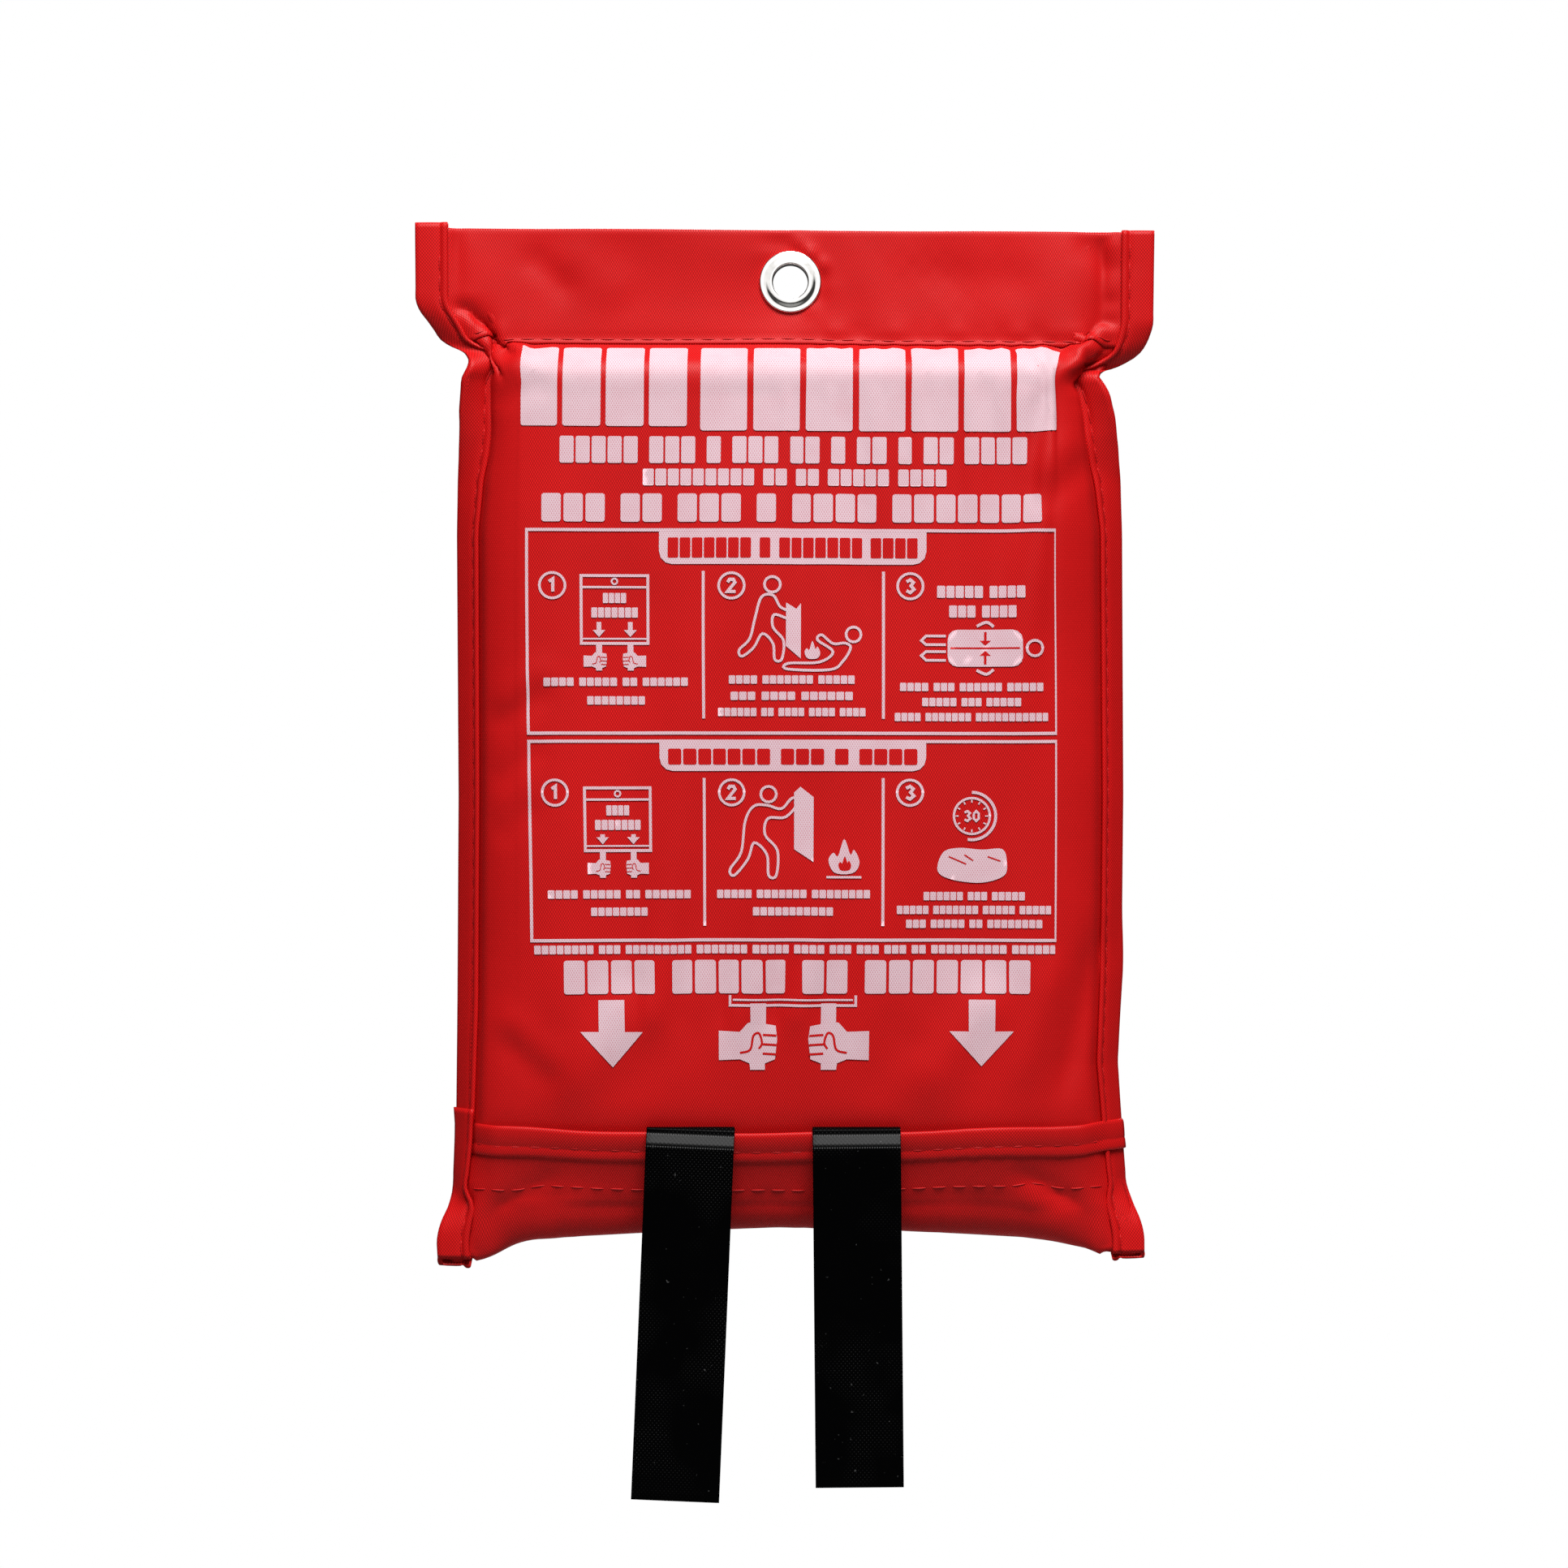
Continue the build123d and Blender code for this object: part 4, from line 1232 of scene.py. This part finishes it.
FLAME = [(-0.3, -0.5), (-0.5, -0.1), (-0.35, 0.15), (-0.2, 0.05), (0, 0.6), (0.2, 0.1), (0.32, 0.25),
         (0.5, -0.15), (0.3, -0.5)]


def numbered(x, z, digit):
    ink.ring(x, z, 4.4, 0.9)
    ink.stroke(placed(DIGITS[digit], x, z, 2.2), 1.1)


def pulling_hands(x, z, apart, size):
    """Two fists, each on a hanging tape."""
    for mirror in (-1, 1):
        middle = x + mirror * apart / 2
        ink.block(middle - 0.19 * size, middle + 0.19 * size, z + 0.98 * size, z + 0.4 * size)
        ink.fill(placed(FIST, middle, z, size, -mirror))
        knockout.stroke(curve(placed(THUMB, middle, z, size, -mirror), False), 0.055 * size)
        for rise in (-0.26, -0.03, 0.2):
            finger = placed([(0.12, rise), (0.48, rise - 0.02)], middle, z, size, -mirror)
            knockout.stroke(finger, 0.055 * size)


def pouch_picture(x, top, bottom):
    """A small hanging pouch with two arrows, and hands on its tapes."""
    half = 11.5
    ink.stroke([(x - half, top), (x + half, top), (x + half, bottom), (x - half, bottom)], 1.0, closed=True)
    ink.stroke([(x - half + 0.5, top - 4), (x + half - 0.5, top - 4)], 0.8)
    ink.ring(x, top - 2, 1.0, 0.6)
    ink.words(x - 4, x + 4, top - 6, top - 9.5, (4,))
    ink.words(x - 8, x + 8, top - 11, top - 14.5, (7,))
    for side in (-1, 1):
        arrow(x + side * 5.4, top - 16, bottom + 2.2, 1.6, 4.4)
    ink.stroke([(x - half + 0.5, bottom + 1.6), (x + half - 0.5, bottom + 1.6)], 0.6)
    pulling_hands(x, bottom - 5.8, 10.8, 5.4)


def arrow(x, top, bottom, shaft, head):
    neck = bottom + 0.55 * head
    ink.fill([(x - shaft / 2, top), (x - shaft / 2, neck), (x - head / 2, neck), (x, bottom),
              (x + head / 2, neck), (x + shaft / 2, neck), (x + shaft / 2, top)])


def person(head, body, radius=2.7):
    ink.ring(*head, radius, 0.9)
    ink.stroke(curve(body), 0.9, closed=True)


def frame_box(top, bottom, tab_bottom, tab_words, divider_bottom):
    """One row of three pictures, with a tab for its heading."""
    left, right, middle = -90.8, 92.2, 0.7
    ink.stroke([(left, top), (right, top), (right, bottom), (left, bottom)], 1.1, closed=True)
    ink.block(middle - 46, middle + 46, top - 0.5, tab_bottom, 4.5, square_top=True)
    knockout.words(middle - 43, middle + 43, top - 2.6, tab_bottom + 2.2, tab_words)
    for x in (-30, 32):
        ink.stroke([(x, tab_bottom - 2.4), (x, divider_bottom)], 1.0)
    for digit, x in ((1, -82), (2, -20.3), (3, 41.2)):
        numbered(x, tab_bottom - 7.4, digit)


def captions(x, rows):
    for half, top, counts in rows:
        ink.words(x - half, x + half, top, top - 2.9, counts)


def headings():
    ink.words(-93.6, -36, -19.4, -49.5, (4,))
    ink.words(-31.4, 94, -19.4, -51, (7,))
    ink.words(-79.6, 81.2, -53, -62.3, (5, 3, 1, 3, 2, 1, 2, 1, 2, 4))
    ink.words(-51, 53.5, -64.2, -70, (9, 2, 2, 5, 4))
    ink.words(-85.7, 86.8, -72.8, -82.6, (3, 2, 3, 1, 4, 7))
    ink.words(-90, 92, -228.6, -231.6, (8, 3, 9, 7, 5, 4, 3, 3, 3, 2, 10, 6))
    ink.words(-79.8, 82.9, -233.8, -245.4, (4, 5, 2, 7))
    for x in (-63.3, 66.4):
        arrow(x, -247.5, -270.5, 9, 22)
    ink.stroke([(-21, -246), (-21, -249.5), (23, -249.5), (23, -246)], 0.9)
    ink.stroke([(-20, -247.6), (22, -247.6)], 0.7)
    pulling_hands(1.2, -262.5, 25, 14)


def first_row():
    """Wrapping a person whose clothes burn."""
    frame_box(-85.4, -155.5, -97.2, (7, 1, 7, 4), -150.5)
    pouch_picture(-60.6, -101.2, -124.6)
    captions(-60.3, ((25, -136.4, (4, 5, 2, 6)), (10, -142.8, (8,))))
    person((-6.3, -104.2), [
        (-10, -108.6), (-6, -108), (-3.5, -112), (0.5, -113.8), (-0.6, -116), (-5.6, -114.6), (-6, -119),
        (-2.4, -123.6), (-3, -130), (-5.4, -130), (-6, -124.6), (-9.6, -121.2), (-12.6, -126), (-16.6, -129),
        (-17.6, -126.8), (-14, -123), (-12.2, -116)])
    ink.fill([(-1.6, -110.4), (2, -112.6), (3.6, -110.6), (3.6, -129.8), (-1.6, -125.4)])
    person((21.6, -121.4), [
        (18.6, -124.4), (14.6, -124.6), (10.8, -121.6), (9.4, -123.4), (14.6, -127.4), (10, -131),
        (-0.6, -131.4), (-1, -133.4), (13.6, -133.6), (18, -130.6), (20.6, -126)], 2.6)
    ink.fill(curve(placed(FLAME, 7.6, -127, 5.4)))
    captions(0.4, ((21.6, -135.6, (4, 7, 5)), (21, -141.2, (3, 4, 6)), (25.4, -146.8, (6, 2, 4, 4, 4))))
    ink.words(50.3, 81, -104.4, -108.6, (5, 4))
    ink.words(54.5, 78, -111.2, -115.4, (3, 4))
    level = -126
    ink.block(54, 80, level + 6.4, level - 6.4, 3.4)
    ink.ring(84, level, 2.7, 0.9)
    for side in (1, -1):
        leg = [(53.4, 1.2), (46.6, 1.2), (45, 2.6), (46.6, 4.2), (53.4, 4.2)]
        ink.stroke([(x, level + side * rise) for x, rise in leg], 0.9)
        turn = [(x, level + side * rise) for x, rise in ((64, 7.6), (67.4, 9), (70, 7.4))]
        ink.stroke(curve(turn, False), 1.0)
        knockout.stroke([(67, level + side * 5.6), (67, level + side * 1.8)], 0.9)
        knockout.fill([(x, level + side * rise) for x, rise in ((65, 2.6), (67, 0.9), (69, 2.6))])
    knockout.stroke([(55, level), (79, level)], 0.6)
    captions(62.3, ((24.6, -138, (4, 3, 6, 5)), (17, -143.2, (5, 3, 5)), (26.4, -148.4, (4, 7, 11))))


def second_row():
    """Covering a fire, and leaving it covered."""
    frame_box(-158.3, -226.9, -168.6, (7, 3, 1, 4), -222)
    pouch_picture(-60.2, -174.4, -196)
    captions(-60, ((25, -209.6, (4, 5, 2, 6)), (10, -215.6, (8,))))
    person((-7.4, -176.6), [
        (-12.6, -180.8), (-8, -180.4), (-3, -181.6), (0.6, -178), (3.4, -178.6), (-1.4, -184.4), (-7.6, -185),
        (-8.6, -190.6), (-4.4, -196), (-4.8, -204.6), (-7.4, -204.6), (-8, -197.4), (-12.4, -193.4),
        (-14.6, -199), (-19.4, -204.6), (-21, -202.6), (-17, -196.6), (-15.6, -186)])
    ink.fill([(1.4, -176), (3.6, -174), (8.2, -177.6), (8.2, -200), (1.4, -195.6)])
    ink.fill(curve(placed(FLAME, 18.6, -198.4, 10.6)))
    knockout.fill(curve(placed(FLAME, 18.8, -200.6, 4.4)))
    ink.stroke([(12.6, -205.2), (24.6, -205.2)], 0.8)
    captions(1, ((26.6, -209.6, (5, 7, 8)), (13.8, -215.6, (11,))))
    ink.ring(62.5, -184, 6.2, 0.8)
    ink.ring(62.5, -184, 8.2, 1.0, -100, 90)
    for turn in range(0, 360, 30):
        a = radians(turn)
        ink.stroke([(62.5 + r * cos(a), -184 + r * sin(a)) for r in (4.6, 5.6)], 0.5)
    for x, digit in ((61, 3), (64, 0)):
        ink.stroke(placed(DIGITS[digit], x, -184, 1.7), 0.8)
    ink.fill(curve([(50.8, -203), (52.6, -196.6), (58, -195), (66, -195.6), (73, -195.4), (74.6, -200),
                    (73.6, -204.6), (66, -207), (56, -206)]))
    for x0, z0, x1, z1 in ((54.6, -198, 60.6, -200.6), (60, -197.4, 63, -199.4), (68, -198, 72.4, -199.6)):
        knockout.stroke([(x0, z0), (x1, z1)], 0.5)
    captions(63.4, ((17.4, -210.2, (6, 3, 5)), (26.6, -215, (5, 7, 5, 5)), (23.4, -219.8, (3, 5, 2, 8))))


PRINT_GRID = 2.0
INK_LIFT, GAP_LIFT = 0.27, 0.35
# The camera's x and z. The cloth stands nearer to it than the eyelet, so the print is drawn smaller about it.
LENS = (-2.2, -173.0)
NEARER = 0.988
# How much the left half of the print narrows toward its foot.
DRAWN_IN = 0.018


def printed(name, shapes, lift, material):
    """Ink shapes cut into small pieces and laid on the front cloth."""
    bm = bmesh.new()
    for shape in shapes:
        bm.faces.new([bm.verts.new(point) for point in shape])
    bm.normal_update()
    bmesh.ops.triangulate(bm, faces=bm.faces[:])
    for axis, start, end in ((0, -95, 97), (2, -272, -20)):
        direction = Vector([axis == 0, 0, axis == 2])
        for place in np.arange(start, end, PRINT_GRID):
            everything = bm.verts[:] + bm.edges[:] + bm.faces[:]
            bmesh.ops.bisect_plane(bm, geom=everything, plane_co=direction * float(place), plane_no=direction)
    flat = np.array([v.co for v in bm.verts])
    bm.verts.index_update()
    faces = [[v.index for v in f.verts] for f in bm.faces]
    bm.free()
    drawn_in = 1 - DRAWN_IN * smooth((-85 - flat[:, 2]) / 145) * (flat[:, 0] < 0)
    x = LENS[0] + (flat[:, 0] * drawn_in - LENS[0]) * NEARER
    z = LENS[1] + (flat[:, 2] - LENS[1]) * NEARER
    u, w = np.polyval(TO_U, x), w_of(z)
    points = sheet.lifted(u, w, PANEL_LIFT + lift + flat[:, 1])
    thing = new_object(name, points, faces, materials[material], pairs(u, w))
    finish_piece(thing, "pouch", "red_coated_cloth")


headings()
first_row()
second_row()
printed("printed_instructions", ink.shapes, INK_LIFT, "ink")
printed("printed_gaps", knockout.shapes, GAP_LIFT, "knockout")

# --- Stage, light and camera ---
FLOOR_Z = -0.95
CAMERA_DISTANCE = 1.277
ROOM_LIGHT = 0.06
ROOM_IN_REFLECTIONS = 0.05


def floor():
    """A plain pale disc, well below the hanging pouch."""
    mesh = bpy.data.meshes.new("floor")
    bm = bmesh.new()
    bmesh.ops.create_circle(bm, cap_ends=True, segments=96, radius=2.0)
    bm.to_mesh(mesh)
    bm.free()
    n = Nodes("pale_floor")
    base = n.mix(n.noise(3.0), [0.28, 0.28, 0.28, 1], [0.31, 0.31, 0.31, 1])
    n.surface(Base_Color=base, Roughness=0.8)
    seen = n.add("ShaderNodeLightPath").outputs["Is Camera Ray"]
    n.surface(Emission_Color=[1, 1, 1, 1], Emission_Strength=n.math("MULTIPLY", seen, 0.62))
    mesh.materials.append(n.material)
    disc = linked("floor", mesh)
    disc.location.z = FLOOR_Z


def softbox(name, place, aim, size, power):
    light = bpy.data.lights.new(name, "AREA")
    light.shape = "RECTANGLE"
    light.size, light.size_y = size
    light.energy = power
    lamp = linked(name, light)
    lamp.location = place
    lamp.rotation_euler = (Vector(aim) - Vector(place)).to_track_quat("-Z", "Y").to_euler()


def world():
    """White to the camera, soft light on matt surfaces, and a darker room in reflections."""
    setting = bpy.data.worlds.new("studio")
    setting.use_nodes = True
    tree = setting.node_tree
    seen_by = tree.nodes.new("ShaderNodeLightPath").outputs
    matt, camera_view = (tree.nodes.new("ShaderNodeMix") for _ in range(2))
    for pick, ray, strength in ((matt, "Is Diffuse Ray", ROOM_LIGHT), (camera_view, "Is Camera Ray", 1.0)):
        tree.links.new(seen_by[ray], pick.inputs[0])
        pick.inputs[3].default_value = strength
    matt.inputs[2].default_value = ROOM_IN_REFLECTIONS
    tree.links.new(matt.outputs[0], camera_view.inputs[2])
    background = tree.nodes["Background"]
    background.inputs[0].default_value = (1, 1, 1, 1)
    tree.links.new(camera_view.outputs[0], background.inputs[1])
    bpy.context.scene.world = setting


def camera():
    """A portrait lens straight in front of the pouch."""
    data = bpy.data.cameras.new("camera")
    data.lens, data.sensor_width = 85, 36
    eye = linked("camera", data)
    eye.location = (LENS[0] * MM, -CAMERA_DISTANCE, LENS[1] * MM)
    eye.rotation_euler = (radians(90), 0, 0)
    bpy.context.scene.camera = eye


floor()
world()
camera()
middle = (0, 0, -0.17)
softbox("key", (0.2, -1.75, 2.35), middle, (1.7, 1.4), 160)
softbox("fill", (0.2, -1.9, 0.5), middle, (0.8, 1.0), 1.5)
softbox("rear", (0.3, 1.6, 0.9), middle, (1.4, 1.0), 32)
bpy.context.scene.view_settings.view_transform = "Standard"
